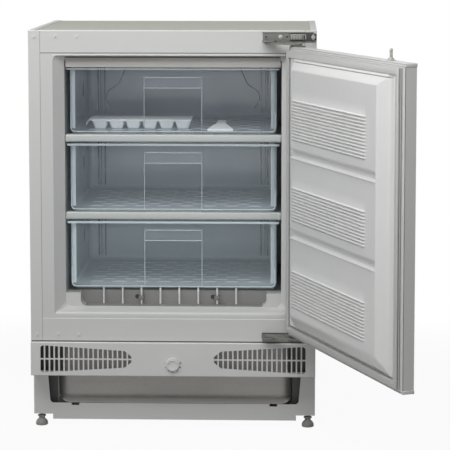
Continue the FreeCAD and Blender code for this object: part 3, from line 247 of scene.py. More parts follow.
class Shader:
    """The nodes of one material or world while they are put together."""

    def __init__(self, owner):
        self.owner = owner
        owner.use_nodes = True
        self.tree = owner.node_tree
        self.tree.nodes.clear()

    def node(self, kind, settings=None, sockets=None, output=0):
        """A new node: its settings first, then the values or links of its sockets."""
        made = self.tree.nodes.new(kind)
        for key, value in (settings or {}).items():
            setattr(made, key, value)
        for key, value in (sockets or {}).items():
            if isinstance(value, Value):
                self.tree.links.new(value.socket, made.inputs[key])
            else:
                made.inputs[key].default_value = value
        return Value(self, made.outputs[output]) if len(made.outputs) else None

    def maths(self, operation, first, second):
        return self.node("ShaderNodeMath", {"operation": operation}, {0: first, 1: second})

    def place(self):
        """Where a point lies on the object."""
        return self.node("ShaderNodeTexCoord", output="Object")

    def along(self, axis):
        return self.node("ShaderNodeSeparateXYZ", sockets={0: self.place()}, output=axis)

    def noise(self, scale, detail=3.0):
        sockets = {"Vector": self.place(), "Scale": scale, "Detail": detail}
        return self.node("ShaderNodeTexNoise", sockets=sockets)

    def stretched_noise(self, scale, stretch):
        """Noise drawn out along some of the axes, as brush and rolling marks are."""
        mapped = self.node("ShaderNodeMapping", sockets={"Vector": self.place(), "Scale": stretch})
        return self.node("ShaderNodeTexNoise", sockets={"Vector": mapped, "Scale": scale, "Detail": 2.0})

    def grains(self, scale):
        """A random number for each cell of a crystal pattern."""
        sockets = {"Vector": self.place(), "Scale": scale}
        cells = self.node("ShaderNodeTexVoronoi", sockets=sockets, output="Color")
        return self.node("ShaderNodeSeparateColor", sockets={0: cells})

    def step(self, value, low, high):
        """0 below the low limit, 1 above the high one, and smooth between them."""
        limits = {"Value": value, "From Min": low, "From Max": high}
        return self.node("ShaderNodeMapRange", {"interpolation_type": "SMOOTHSTEP"}, limits)

    def spread(self, value, low, high):
        """A 0 to 1 value spread between two limits."""
        return value * (high - low) + low

    def blend(self, factor, first, second):
        """A colour between two colours."""
        sockets = {0: factor, 6: rgba(first), 7: rgba(second)}
        return self.node("ShaderNodeMix", {"data_type": "RGBA"}, sockets, output=2)

    def rounded(self, radius):
        """Normals that ease a sharp edge."""
        return self.node("ShaderNodeBevel", {"samples": 4}, {"Radius": radius})

    def bump(self, height, distance, normal=None):
        sockets = {"Height": height, "Distance": distance, "Strength": 1.0}
        if normal:
            sockets["Normal"] = normal
        return self.node("ShaderNodeBump", sockets=sockets)

    def surface(self, sockets):
        """Finishes the material, from the values and links of its main shader, and gives it back."""
        shader = self.node("ShaderNodeBsdfPrincipled", sockets=sockets)
        self.node("ShaderNodeOutputMaterial", sockets={"Surface": shader})
        return self.owner


def rgba(value):
    return value if isinstance(value, Value) else (*value, 1.0)


def tint(value, factor):
    """A colour made lighter or darker."""
    return tuple(min(channel * factor, 1.0) for channel in value)


def new_material(name):
    """A material of this part. The frame brings plain ones under the bare names."""
    return bpy.data.materials.new(PREFIX + name)


def moulded_plastic(name, base, roughness=0.4, edge=0.6 * MM, grain=0.00004):
    """Injection-moulded plastic with a fine grain and faint flow marks."""
    shader = Shader(new_material(name))
    flow = shader.noise(14.0)
    fine = shader.noise(1400.0)
    return shader.surface({
        "Base Color": shader.blend(flow, tint(base, 0.97), tint(base, 1.03)),
        "Roughness": shader.spread(fine, roughness - 0.05, roughness + 0.08),
        "Normal": shader.bump(fine, grain, shader.rounded(edge)),
        "IOR": 1.48,
    })


def enamel_paint(name, base):
    """Sprayed enamel on sheet steel, with orange peel and a trace of handling marks."""
    shader = Shader(new_material(name))
    peel = shader.noise(420.0, 2.0)
    marks = shader.noise(5.0, 5.0)
    return shader.surface({
        "Base Color": shader.blend(marks, tint(base, 0.975), tint(base, 1.02)),
        "Roughness": shader.spread(marks, 0.34, 0.46),
        "Normal": shader.bump(peel, 0.00006, shader.rounded(0.3 * MM)),
        "IOR": 1.5,
    })


def galvanised_sheet(name, base):
    """Zinc-coated sheet with its spangle and faint rolling marks."""
    shader = Shader(new_material(name))
    spangle = shader.grains(130.0)
    rolling = shader.stretched_noise(30.0, (0.4, 6.0, 6.0))
    shade = shader.spread(spangle, 0.25, 0.75) + (rolling - 0.5) * 0.5
    return shader.surface({
        "Base Color": shader.blend(shade, tint(base, 0.9), tint(base, 1.1)),
        "Metallic": 0.35,
        "Roughness": shader.spread(spangle, 0.42, 0.56),
        "Normal": shader.bump(rolling, 0.00008, shader.rounded(0.5 * MM)),
    })


def formed_sheet(name, base, painted_step_shade):
    """Vacuum-formed liner sheet. The step under the drawers and the trough before it are painted dark grey as
    shade.
    """
    shader = Shader(new_material(name))
    sheen = shader.noise(9.0)
    fine = shader.noise(900.0)
    step_front, step_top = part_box("rack_clips")[1].y, 290 * MM
    trough_half, trough_front, trough_top = 196 * MM, -231 * MM, 262.4 * MM
    on_step = shader.step(shader.along("Y"), step_front - 1.5 * MM, step_front - 0.5 * MM)
    below = 1 - shader.step(shader.along("Z"), step_top, step_top + 1 * MM)
    across = shader.maths("ABSOLUTE", shader.along("X"), 0.0)
    inside = 1 - shader.step(across, trough_half, trough_half + 3 * MM)
    trough = shader.step(shader.along("Y"), trough_front, trough_front + 2 * MM) * inside
    on_floor = trough * (1 - shader.step(shader.along("Z"), trough_top, trough_top + 0.8 * MM))
    # Mask of the painted shade on the step and the trough floor
    grey = shader.maths("MAXIMUM", on_step * below, on_floor)
    white = shader.blend(sheen, tint(base, 0.975), tint(base, 1.02))
    return shader.surface({
        "Base Color": shader.blend(grey, white, painted_step_shade),
        "Roughness": shader.spread(sheen, 0.28, 0.4),
        "Normal": shader.bump(fine, 0.00003, shader.rounded(0.4 * MM)),
        "IOR": 1.5,
    })


def shelf_trim_finish(name, white, shade):
    """Extruded strip, white on the shelves, with a warmer grey of painted shade on the strip under the ceiling."""
    shader = Shader(new_material(name))
    draw = shader.stretched_noise(60.0, (0.3, 5.0, 5.0))
    # Above the shelves the colour turns to the painted shade of the ceiling strip
    over_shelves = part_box("drawer_top")[0].z + 75 * MM
    upper = shader.step(shader.along("Z"), over_shelves, over_shelves + 10 * MM)
    base = shader.blend(upper, white, shade)
    return shader.surface({
        "Base Color": shader.blend(draw * 0.12, base, tint(white, 0.8)),
        "Roughness": shader.spread(draw, 0.3, 0.42),
        "Normal": shader.bump(draw, 0.00003),
        "IOR": 1.48,
    })


def clear_plastic(name, body, edge, front_cover, cover, edge_cover):
    """Tinted clear plastic that turns pale, a painted reflection, where a wall is seen edge on.

    The front wall is the clearest, and the tint is painted lighter in the lower drawers and darker in the upper
    ones, for the light that reaches them.
    """
    shader = Shader(new_material(name))
    facing = shader.node("ShaderNodeLayerWeight", sockets={"Blend": 0.3}, output="Facing")
    rim = shader.step(facing, 0.5, 0.98)
    waves = shader.noise(26.0)
    behind_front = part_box("drawer_top")[0].y + 30 * MM
    behind = shader.step(shader.along("Y"), behind_front, behind_front + 10 * MM)
    body_cover = shader.spread(behind, front_cover, cover)
    # Painted light: the body colour is lighter low down and darker high up
    lowest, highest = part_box("drawer_bottom")[0].z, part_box("drawer_top")[1].z
    upper = shader.step(shader.along("Z"), lowest, highest)
    body = shader.blend(upper, tint(body, 1.16), tint(body, 0.74))
    return shader.surface({
        "Base Color": shader.blend(rim, body, edge),
        "Alpha": body_cover + rim * (edge_cover - body_cover),
        "Roughness": shader.spread(waves, 0.08, 0.16),
        "Normal": shader.bump(waves, 0.0003),
        "IOR": 1.49,
    })


def wire_enamel(name, base):
    """Thick white enamel on wire, with slight runs."""
    shader = Shader(new_material(name))
    runs = shader.noise(60.0)
    return shader.surface({
        "Base Color": shader.blend(runs, tint(base, 0.95), tint(base, 1.03)),
        "Roughness": shader.spread(runs, 0.22, 0.34),
        "Normal": shader.bump(runs, 0.0001),
        "Coat Weight": 0.4,
    })


def soft_vinyl(name, base):
    """Flexible seal with a dull skin."""
    shader = Shader(new_material(name))
    skin = shader.noise(220.0)
    return shader.surface({
        "Base Color": shader.blend(skin, tint(base, 0.95), tint(base, 1.03)),
        "Roughness": shader.spread(skin, 0.5, 0.65),
        "Normal": shader.bump(skin, 0.00008),
    })


def black_stove_paint(name, base):
    """Dull black paint with dust on the faces that look up."""
    shader = Shader(new_material(name))
    dust = (0.2, 0.19, 0.175)
    dapple = shader.noise(70.0, 4.0)
    normal = shader.node("ShaderNodeNewGeometry", output="Normal")
    upward = shader.step(shader.node("ShaderNodeSeparateXYZ", sockets={0: normal}, output="Z"), 0.3, 1.0)
    return shader.surface({
        "Base Color": shader.blend(upward * dapple * 0.35, base, dust),
        "Roughness": shader.spread(dapple, 0.38, 0.55),
        "Normal": shader.bump(dapple, 0.0001, shader.rounded(1.0 * MM)),
    })


def tarnished_copper(name, base):
    """Drawn copper with brown patches of tarnish."""
    shader = Shader(new_material(name))
    patches = shader.step(shader.noise(45.0, 4.0), 0.42, 0.66)
    return shader.surface({
        "Base Color": shader.blend(patches, base, tint(base, 0.45)),
        "Metallic": 0.9,
        "Roughness": shader.spread(patches, 0.28, 0.5),
        "Normal": shader.bump(patches, 0.00005),
    })


def dull_rubber(name, base):
    """Black rubber with a dusty bloom."""
    shader = Shader(new_material(name))
    bloom = shader.noise(120.0, 4.0)
    return shader.surface({
        "Base Color": shader.blend(bloom, base, tint(base, 1.8)),
        "Roughness": shader.spread(bloom, 0.65, 0.85),
        "Normal": shader.bump(bloom, 0.0001),
    })


def zinc_plate(name, base):
    """Zinc-plated pressed steel with cloudy patches and fine scratches."""
    shader = Shader(new_material(name))
    clouds = shader.noise(110.0, 3.0)
    scratches = shader.stretched_noise(160.0, (0.4, 3.0, 8.0))
    return shader.surface({
        "Base Color": shader.blend(clouds, tint(base, 0.75), tint(base, 1.25)),
        "Metallic": 0.3,
        "Roughness": shader.spread(clouds, 0.36, 0.55),
        "Normal": shader.bump(scratches, 0.00006, shader.rounded(0.5 * MM)),
    })


def blown_foam(name, base):
    """Foamed insulation with small cells."""
    shader = Shader(new_material(name))
    cells = shader.grains(600.0)
    return shader.surface({
        "Base Color": shader.blend(cells, tint(base, 0.85), tint(base, 1.1)),
        "Roughness": 0.9,
        "Normal": shader.bump(cells, 0.0003),
    })


def make_finishes(colours):
    """One material for each of the record's slots, and some for single pieces."""
    recipes = {
        "white_paint": (enamel_paint, colours.white_paint),
        "galvanised_steel": (galvanised_sheet, colours.galvanised),
        "insulation_foam": (blown_foam, colours.foam),
        "liner_plastic": (formed_sheet, colours.liner, colours.painted_step_shade),
        "white_plastic": (moulded_plastic, colours.white_plastic),
        "white_enamel_wire": (wire_enamel, colours.enamel),
        "clear_plastic": (clear_plastic, colours.clear, colours.clear_edge, 0.07, 0.7, 0.6),
        "clear_edge": (clear_plastic, colours.clear_edge, colours.clear_edge, 0.6, 0.6, 0.95),
        "clear_ripple": (clear_plastic, colours.ripple, colours.clear_edge, 0.6, 0.7, 0.9),
        "clear_shade": (clear_plastic, colours.clear_shade, colours.clear, 0.8, 0.8, 0.9),
        "gasket_vinyl": (soft_vinyl, colours.gasket),
        "dark_plastic": (moulded_plastic, colours.dark_plastic, 0.5),
        "black_paint": (black_stove_paint, colours.black_paint),
        "copper": (tarnished_copper, colours.copper),
        "black_rubber": (dull_rubber, colours.rubber),
        "zinc_steel": (zinc_plate, colours.zinc),
        "bright_zinc": (zinc_plate, colours.bright_zinc),
        "grey_plastic": (moulded_plastic, colours.foot_grey, 0.5),
        "shelf_trim": (shelf_trim_finish, colours.trim_white, colours.ceiling_trim_painted_shade),
        "duct_sheet": (galvanised_sheet, colours.duct),
        "ice_ware": (moulded_plastic, colours.ice_white, 0.32),
        # Painted highlight on the folded edges
        "bare_edge": (enamel_paint, colours.edge_highlight_white),
        "door_sheet": (moulded_plastic, colours.door_sheet, 0.34, 0.4 * MM, 0.00003),
    }
    return {name: make(name, *values) for name, (make, *values) in recipes.items()}


def finish(name):
    """One of this part's materials."""
    return bpy.data.materials[PREFIX + name]


# Mesh building
def block(bm, low, high, bevel=0.0, segments=3):
    """A block between two corners, with its edges rounded."""
    verts = bmesh.ops.create_cube(bm, size=1.0)["verts"]
    low, high = Vector(low), Vector(high)
    bmesh.ops.scale(bm, vec=high - low, verts=verts)
    bmesh.ops.translate(bm, vec=(low + high) / 2, verts=verts)
    if bevel:
        edges = list({edge for vert in verts for edge in vert.link_edges})
        round_edges(bm, edges, bevel, segments)


def round_edges(bm, edges, offset, segments=2):
    """Bevels edges to a rounding."""
    return bmesh.ops.bevel(
        bm, geom=edges, offset=offset, segments=segments, profile=0.5, affect="EDGES", material=-1
    )


def in_metres(outline):
    """An outline's points, from millimetres."""
    return [(first * MM, second * MM) for first, second in outline]


def lathe(bm, profile, centre, axis, steps=32):
    """A turned form: (radius, height) points spun round an axis through the centre."""
    axis = Vector(axis)
    side = axis.orthogonal().normalized()
    verts = [bm.verts.new(Vector(centre) + side * radius + axis * height) for radius, height in profile]
    edges = [bm.edges.new(pair) for pair in zip(verts, verts[1:])]
    bmesh.ops.spin(
        bm, geom=verts + edges, cent=centre, axis=axis, dvec=(0, 0, 0), angle=math.tau, steps=steps,
        use_merge=True,
    )
    bmesh.ops.remove_doubles(bm, verts=bm.verts[:], dist=1e-6)
    bmesh.ops.recalc_face_normals(bm, faces=bm.faces[:])


def quarter_column(bm, centre, inner, outer, low, high, start):
    """An upright quarter of a pipe: radii and heights, and the direction in degrees where it starts."""
    way = Vector((math.cos(math.radians(start)), math.sin(math.radians(start)), 0.0))
    section = ((inner, low), (outer, low), (outer, high), (inner, high))
    corners = [way * radius + Vector((0, 0, z)) for radius, z in section]
    first = ring_loop(bm, [Vector((*centre, 0.0)) + corner for corner in corners])
    verts = list({vert for edge in first for vert in edge.verts})
    made = bmesh.ops.spin(
        bm, geom=verts + first, cent=(*centre, 0.0), axis=(0, 0, 1), dvec=(0, 0, 0),
        angle=math.pi / 2, steps=8,
    )
    last = [item for item in made["geom_last"] if isinstance(item, bmesh.types.BMEdge)]
    capped(bm, first, last)


def eased(points, radius, steps=5):
    """A line of points with its corners rounded."""
    points = [Vector(point) for point in points]
    line = [points[0]]
    for before, corner, after in zip(points, points[1:], points[2:]):
        start = corner + (before - corner).normalized() * radius
        end = corner + (after - corner).normalized() * radius
        for i in range(steps + 1):
            share = i / steps
            line.append(start.lerp(corner, share).lerp(corner.lerp(end, share), share))
    return line + [points[-1]]


def extruded(bm, edges):
    """Extrudes a loop of edges, and gives the new loop's edges and vertices."""
    made = bmesh.ops.extrude_edge_only(bm, edges=edges)["geom"]
    edges = [item for item in made if isinstance(item, bmesh.types.BMEdge)]
    return edges, [item for item in made if isinstance(item, bmesh.types.BMVert)]


def capped(bm, *loops):
    """Closes the ends of a form and turns its faces outwards."""
    for loop in loops:
        bmesh.ops.contextual_create(bm, geom=loop)
    bmesh.ops.recalc_face_normals(bm, faces=bm.faces[:])


def wire(bm, points, radius, segments=8):
    """A round wire along a line of points, closed at both ends."""
    points = [Vector(point) for point in points]
    runs = [(after - before).normalized() for before, after in zip(points, points[1:])]
    heads = [runs[0]] + [(a + b).normalized() for a, b in zip(runs, runs[1:])] + [runs[-1]]
    ring = bmesh.ops.create_circle(bm, segments=segments, radius=radius)["verts"]
    turn = Vector((0, 0, 1)).rotation_difference(heads[0]).to_matrix().to_4x4()
    bmesh.ops.transform(bm, matrix=Matrix.Translation(points[0]) @ turn, verts=ring)
    first = edges = list({edge for vert in ring for edge in vert.link_edges})
    for i in range(1, len(points)):
        edges, verts = extruded(bm, edges)
        turn = heads[i - 1].rotation_difference(heads[i]).to_matrix().to_4x4()
        move = Matrix.Translation(points[i]) @ turn @ Matrix.Translation(-points[i - 1])
        bmesh.ops.transform(bm, matrix=move, verts=verts)
    capped(bm, first, edges)


def framed(bm, low, high, outline):
    """A closed section of (inset, rise) points carried round an upright rectangle."""
    middle = (low + high) / 2

    def settle(vert, inset, rise):
        x = low.x + inset * MM if vert.co.x < middle.x else high.x - inset * MM
        z = low.z + inset * MM if vert.co.z < middle.z else high.z - inset * MM
        vert.co = Vector((x, low.y + rise * MM, z))

    corners = [(low.x, low.z), (high.x, low.z), (high.x, high.z), (low.x, high.z)]
    edges = ring_loop(bm, [(x, low.y, z) for x, z in corners])
    for inset, rise in outline[1:] + outline[:1]:
        edges, verts = extruded(bm, edges)
        for vert in verts:
            settle(vert, inset, rise)
    bmesh.ops.remove_doubles(bm, verts=bm.verts[:], dist=1e-6)
    bmesh.ops.recalc_face_normals(bm, faces=bm.faces[:])


def rod(bm, start, end, radius, segments=12):
    """A round rod between two points."""
    start, end = Vector(start), Vector(end)
    run = end - start
    turn = Vector((0, 0, 1)).rotation_difference(run).to_matrix().to_4x4()
    place = Matrix.Translation((start + end) / 2) @ turn
    bmesh.ops.create_cone(
        bm, cap_ends=True, segments=segments, radius1=radius, radius2=radius, depth=run.length, matrix=place
    )


def ring_loop(bm, corners):
    """A closed loop of edges through some points."""
    verts = [bm.verts.new(corner) for corner in corners]
    return [bm.edges.new(pair) for pair in zip(verts, verts[1:] + verts[:1])]


def bridged(bm, loops):
    """Skin between each loop and the next."""
    for first, second in zip(loops, loops[1:]):
        bmesh.ops.bridge_loops(bm, edges=first + second)


def opened(bm):
    """Carries a form from the shut door's place to the open one's."""
    bmesh.ops.transform(bm, matrix=DOOR_OPENING, verts=bm.verts[:])


def add_piece(bm, name, material, body, replaces=(), sharp=35.0):
    """Makes the mesh an object of the part that rides on a body."""
    mesh = bpy.data.meshes.new(name)
    bm.to_mesh(mesh)
    bm.free()
    mesh.polygons.foreach_set("use_smooth", [True] * len(mesh.polygons))
    mesh.set_sharp_from_angle(angle=math.radians(sharp))
    mesh.materials.append(material)
    piece = bpy.data.objects.new(name, mesh)
    bpy.context.scene.collection.objects.link(piece)
    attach(piece, body)
    if replaces:
        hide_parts(*replaces)
    return piece


def stations(spans):
    """Places along a line: (start, end, number of steps) for each stretch."""
    places = []
    for start, end, count in spans:
        places += [start + (end - start) * i / count for i in range(count)]
    return places + [spans[-1][1]]


def ramp(value, start, end):
    """A slope from 0 at the start to 1 at the end, with eased shoulders."""
    t = min(max((value - start) / (end - start), 0.0), 1.0)
    return 0.5 * t + 0.5 * t * t * (3 - 2 * t)


# Finishes of the CAD nodes
class FREEZER_OT_finishes(bpy.types.Operator):
    """Makes the materials and puts them on the frame's own nodes"""

    bl_idname = "freezer.finishes"
    bl_label = "Finishes"

    def execute(self, context):
        made = make_finishes(context.scene.freezer_colours)
        for name, node in NODES.items():
            node.data.materials.clear()
            node.data.materials.append(made["duct_sheet" if name == "air_duct_panel" else SLOT_OF[name]])
        return {"FINISHED"}


# Door
class LinerForm:
    """Height of the door liner above its flange, for a shut door."""

    # One louvre from its foot up: share of the pitch, and height in millimetres
    louvre = ((0.0, -0.8), (0.125, -0.8), (0.5, 3.4), (0.625, 3.4), (1.0, -0.8))
    # Louvres on each pad, from the bottom up
    louvres = (12, 11, 13)

    def __init__(self, sizes):
        self.sizes = sizes
        low, high = closed_box("door_liner")
        self.low, self.high = low, high
        self.flange = closed_box("door_gasket")[0].y
        self.foot_hinge = high.x - sizes.hinge_side
        self.foot_free = low.x + sizes.free_side
        self.pad_hinge = self.foot_hinge - sizes.hinge_slope
        self.pad_free = self.foot_free + sizes.free_slope
        self.levels = [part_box(node)[0].z for node in ("drawer_middle", "drawer_top")]
        seal_low, seal_high = closed_box("door_gasket")
        inset = Vector((1.0, 0.0, 1.0)) * (sizes.seal_width + sizes.seal_gap)
        self.step_low, self.step_high = seal_low + inset, seal_high - inset
        self.foot_low = self.step_low.z + sizes.step_edge + sizes.groove
        self.foot_high = self.step_high.z - sizes.step_edge - sizes.groove
        self.pad_low = self.foot_low + sizes.bottom_slope
        self.pad_high = self.foot_high - sizes.top_slope
        self.pads = self.pad_spans()

    def pad_spans(self):
        """Lower edge, upper edge, first and last ridge of each pad, from the bottom up."""
        sizes = self.sizes
        lows = [self.pad_low] + [level - sizes.channel_top for level in self.levels]
        highs = [level - sizes.channel_bottom for level in self.levels] + [self.pad_high]
        spans = []
        for low, high, count in zip(lows, highs, self.louvres):
            start = low + sizes.louvre_start
            spans.append((low, high, start, start + count * sizes.louvre_pitch))
        return spans

    def rows(self):
        """Heights of the sheet's rows of points, from the bottom up."""
        sizes = self.sizes
        edge = sizes.step_edge
        spans = [(self.low.z, self.step_low.z, 2), (self.step_low.z, self.step_low.z + edge, 3)]
        spans += [(self.step_low.z + edge, self.foot_low, 4), (self.foot_low, self.pad_low, 9)]
        for index, (low, high, first, last) in enumerate(self.pads):
            ridges = round((last - first) / sizes.louvre_pitch)
            crest = sizes.crest_half
            spans += [(low, first, 4), (first, last, 8 * ridges)]
            spans += [(last, high - crest, 3), (high - crest, high, 4)]
            if index < len(self.levels):
                level = self.levels[index]
                valley = level - sizes.channel_valley
                floor = level - sizes.channel_floor
                spans += [(high, floor, 6), (floor, valley, 3), (valley, level - sizes.channel_top, 6)]
        top = self.step_high.z
        wall = top - sizes.lip_wall
        spans += [(self.pad_high, self.foot_high, 9), (self.foot_high, top - edge, 4)]
        spans += [(top - edge, wall, 4), (wall, top, 2), (top, self.high.z, 2)]
        return stations(spans)

    def columns(self):
        """Places of the sheet's columns of points, from the free edge to the hinge."""
        sizes = self.sizes
        ridge_free = self.pad_free + sizes.louvre_free_inset
        ridge_hinge = self.pad_hinge - sizes.louvre_hinge_inset
        end = sizes.end_ease
        edge = sizes.step_edge
        spans = [(self.low.x, self.step_low.x, 2), (self.step_low.x, self.step_low.x + edge, 3)]
        spans += [(self.step_low.x + edge, self.foot_free, 2), (self.foot_free, self.pad_free, 12)]
        spans.append((self.pad_free, self.pad_free + end, 4))
        spans += [(self.pad_free + end, ridge_free, 3), (ridge_free, ridge_free + end, 4)]
        spans += [(ridge_free + end, ridge_hinge - end, 6), (ridge_hinge - end, ridge_hinge, 4)]
        spans += [(ridge_hinge, self.pad_hinge, 2), (self.pad_hinge, self.foot_hinge, 7)]
        side = self.step_high.x
        spans += [(self.foot_hinge, side - edge, 4), (side - edge, side, 3), (side, self.high.x, 2)]
        return stations(spans)

    def height(self, x, z):
        """Raised middle, less its hollows, with the crests and ridges on it."""
        sizes = self.sizes
        sides = min(ramp(x, self.foot_free, self.pad_free), self.hinge_rise(x))
        gentle = sizes.step + (sizes.rise - sizes.step) * min(sides, ramp(z, self.foot_low, self.pad_low))
        raised = min(gentle, self.top_height(z)) * self.on_step(x, z)
        hollow = self.channel_depth(x, z) + self.groove_depth(x, z)
        return raised - hollow + self.crest_height(x, z) + self.ridge_height(x, z)

    def hinge_rise(self, x):
        """0 at the foot of the hinge side's slope, 1 on the pads."""
        return ramp(-x, -self.foot_hinge, -self.pad_hinge)

    def free_end(self, x):
        """0 at the pads' free edge, 1 where a channel has its full depth."""
        return ramp(x, self.pad_free, self.pad_free + self.sizes.end_ease)

    def on_step(self, x, z):
        """1 inside the step that stands behind the gasket, 0 outside it."""
        edge, wall = self.sizes.step_edge, self.sizes.lip_wall
        inside = min(x - self.step_low.x, self.step_high.x - x, z - self.step_low.z)
        return min(ramp(inside, 0.0, edge), ramp(self.step_high.z - z, 0.0, wall))

    def top_height(self, z):
        """Height near the top: a lip beside the gasket, then the upper slope."""
        sizes = self.sizes
        down = self.step_high.z - z
        if down < sizes.step_edge:
            return sizes.lip + (sizes.lip_crest - sizes.lip) * max(down, 0.0) / sizes.step_edge
        return sizes.top_foot + (sizes.rise - sizes.top_foot) * ramp(-z, -self.foot_high, -self.pad_high)

    def channel_depth(self, x, z):
        """Depth of the channels that lie before the shelves."""
        sizes = self.sizes
        deepest = 0.0
        for level in self.levels:
            valley = level - sizes.channel_valley
            upper = ramp(z, level - sizes.channel_top, valley)
            lower = ramp(z, level - sizes.channel_bottom, level - sizes.channel_floor)
            deepest = max(deepest, min(upper, lower))
        return sizes.channel_depth * deepest * self.free_end(x) * self.hinge_rise(x)

    def groove_depth(self, x, z):
        """Depth of the narrow grooves above and below the raised middle."""
        sizes = self.sizes
        off = min(z - self.step_low.z, self.step_high.z - z) - sizes.step_edge
        across = min(ramp(x, self.foot_free, self.foot_free + sizes.groove), self.hinge_rise(x))
        edge = sizes.groove / 4
        inside = min(ramp(off, 0.0, edge), ramp(-off, -sizes.groove, edge - sizes.groove))
        return sizes.groove_depth * across * inside

    def crest_height(self, x, z):
        """Height of the rounded crest along each channel's lower edge."""
        sizes = self.sizes
        ends = min(self.free_end(x), self.hinge_rise(x))
        off = min(abs(z - level + sizes.channel_bottom) for level in self.levels) / sizes.crest_half
        return sizes.crest_rise * ends * (0.5 + 0.5 * math.cos(math.pi * off)) if off < 1 else 0.0

    def ridge_height(self, x, z):
        """Height of the louvres on the pads."""
        sizes = self.sizes
        free = self.pad_free + sizes.louvre_free_inset
        hinge = self.pad_hinge - sizes.louvre_hinge_inset
        ends = min(ramp(x, free, free + sizes.end_ease), ramp(-x, -hinge, sizes.end_ease - hinge))
        for low, high, first, last in self.pads:
            if first < z < last:
                turn = (z - first) / sizes.louvre_pitch % 1.0
                for (start, before), (end, after) in zip(self.louvre, self.louvre[1:]):
                    if turn <= end:
                        return ends * (before + (after - before) * (turn - start) / (end - start)) * MM
        return 0.0


class FREEZER_OT_door_liner(bpy.types.Operator):
    """Formed inner panel of the door: three louvred pads with channels between them"""

    bl_idname = "freezer.door_liner"
    bl_label = "Door liner"

    def execute(self, context):
        form = LinerForm(context.scene.freezer_door)
        columns, rows = form.columns(), form.rows()
        bm = bmesh.new()
        across, up = len(columns) - 1, len(rows) - 1
        bmesh.ops.create_grid(bm, x_segments=across, y_segments=up, size=0.5)
        for vert in bm.verts:
            x = columns[round((vert.co.x + 0.5) * across)]
            z = rows[round((vert.co.y + 0.5) * up)]
            vert.co = Vector((x, form.flange + form.height(x, z), z))
        bmesh.ops.recalc_face_normals(bm, faces=bm.faces[:])
        if bm.faces[0].normal.y < 0:
            bmesh.ops.reverse_faces(bm, faces=bm.faces[:])
        bmesh.ops.solidify(bm, geom=bm.faces[:], thickness=form.sizes.wall)
        opened(bm)
        look = finish("door_sheet")
        add_piece(bm, "door_inner_panel", look, "door", ["door_liner"], 60.0)
        return {"FINISHED"}


class FREEZER_OT_door_gasket(bpy.types.Operator):
    """Seal round the door with its folded bellows and magnet strip"""

    bl_idname = "freezer.door_gasket"
    bl_label = "Door gasket"

    # Distance in from the outer edge, and height above the flange, in millimetres
    outline = (
        (0.0, 0.0), (0.0, 1.2), (4.6, 2.0), (0.3, 3.0), (0.3, 4.6), (5.0, 5.6), (0.6, 6.8), (0.6, 8.8),
        (1.8, 9.7), (12.6, 9.7), (13.8, 9.3), (13.9, 7.0), (13.0, 5.8), (10.6, 4.4), (12.8, 3.0),
        (14.0, 2.4), (14.0, 0.0),
    )

    def execute(self, context):
        low, high = closed_box("door_gasket")
        bm = bmesh.new()
        framed(bm, low, high, self.outline)
        opened(bm)
        add_piece(bm, "door_seal", finish("gasket_vinyl"), "door", ["door_gasket"], 50.0)
        return {"FINISHED"}


class FREEZER_OT_door_caps(bpy.types.Operator):
    """End caps of the door with rounded edges and a small lip at the free end"""

    bl_idname = "freezer.door_caps"
    bl_label = "Door end caps"

    lip = 1.0 * MM
    lip_length = 6.0 * MM
    rounding = 1.0 * MM
    groove_half = 0.3 * MM
    # Height of the parting groove in each cap
    partings = {"door_top_cap": 4.4 * MM, "door_bottom_cap": 2.6 * MM}

    def execute(self, context):
        for node, parting_height in self.partings.items():
            low, high = closed_box(node)
            bm = bmesh.new()
            parting = low.z + parting_height
            block(bm, low, (high.x, high.y, parting - self.groove_half), self.rounding)
            block(bm, (low.x, low.y, parting + self.groove_half), high, self.rounding)
            inner = Vector((1.0, 1.0, 1.0)) * self.rounding
            block(bm, low + inner, high - inner)
            outer = Vector((self.lip, self.lip, 0.0))
            end = Vector((low.x + self.lip_length, high.y - self.lip, high.z))
            block(bm, low - outer, end, 1.2 * MM)
            opened(bm)
            add_piece(bm, node + "_moulding", finish("white_plastic"), "door", [node])
        return {"FINISHED"}


class FREEZER_OT_furniture_stud(bpy.types.Operator):
    """Threaded stud on the door's top edge with its cone nut and lock washer"""

    bl_idname = "freezer.furniture_stud"
    bl_label = "Furniture stud"

    thread_pitch = 1.25 * MM
    thread_radius = 3.0 * MM
    nut_height = 6.0 * MM
    plain_tip = 1.5 * MM
    # Radius and height, in millimetres
    nut = ((0.0, 0.0), (8.0, 0.0), (8.0, 1.0), (7.2, 1.4), (5.4, 2.0), (5.2, 3.6), (4.4, 4.4), (3.0, 6.0))

    def execute(self, context):
        low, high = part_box("furniture_stud")
        centre = Vector(((low.x + high.x) / 2, (low.y + high.y) / 2, low.z))
        tall, radius, pitch = high.z - low.z, self.thread_radius, self.thread_pitch
        bm = bmesh.new()
        profile = in_metres(self.nut)
        turns = int((tall - self.nut_height - self.plain_tip) / pitch)
        for turn in range(turns):
            base = self.nut_height + turn * pitch
            profile += [(radius * 0.86, base + 0.3 * pitch), (radius, base + pitch)]
        profile += [(radius * 0.7, tall), (0.0, tall)]
        lathe(bm, profile, centre, (0, 0, 1), 24)
        look = finish("bright_zinc")
        add_piece(bm, "furniture_stud_thread", look, "door", ["furniture_stud"])
        return {"FINISHED"}


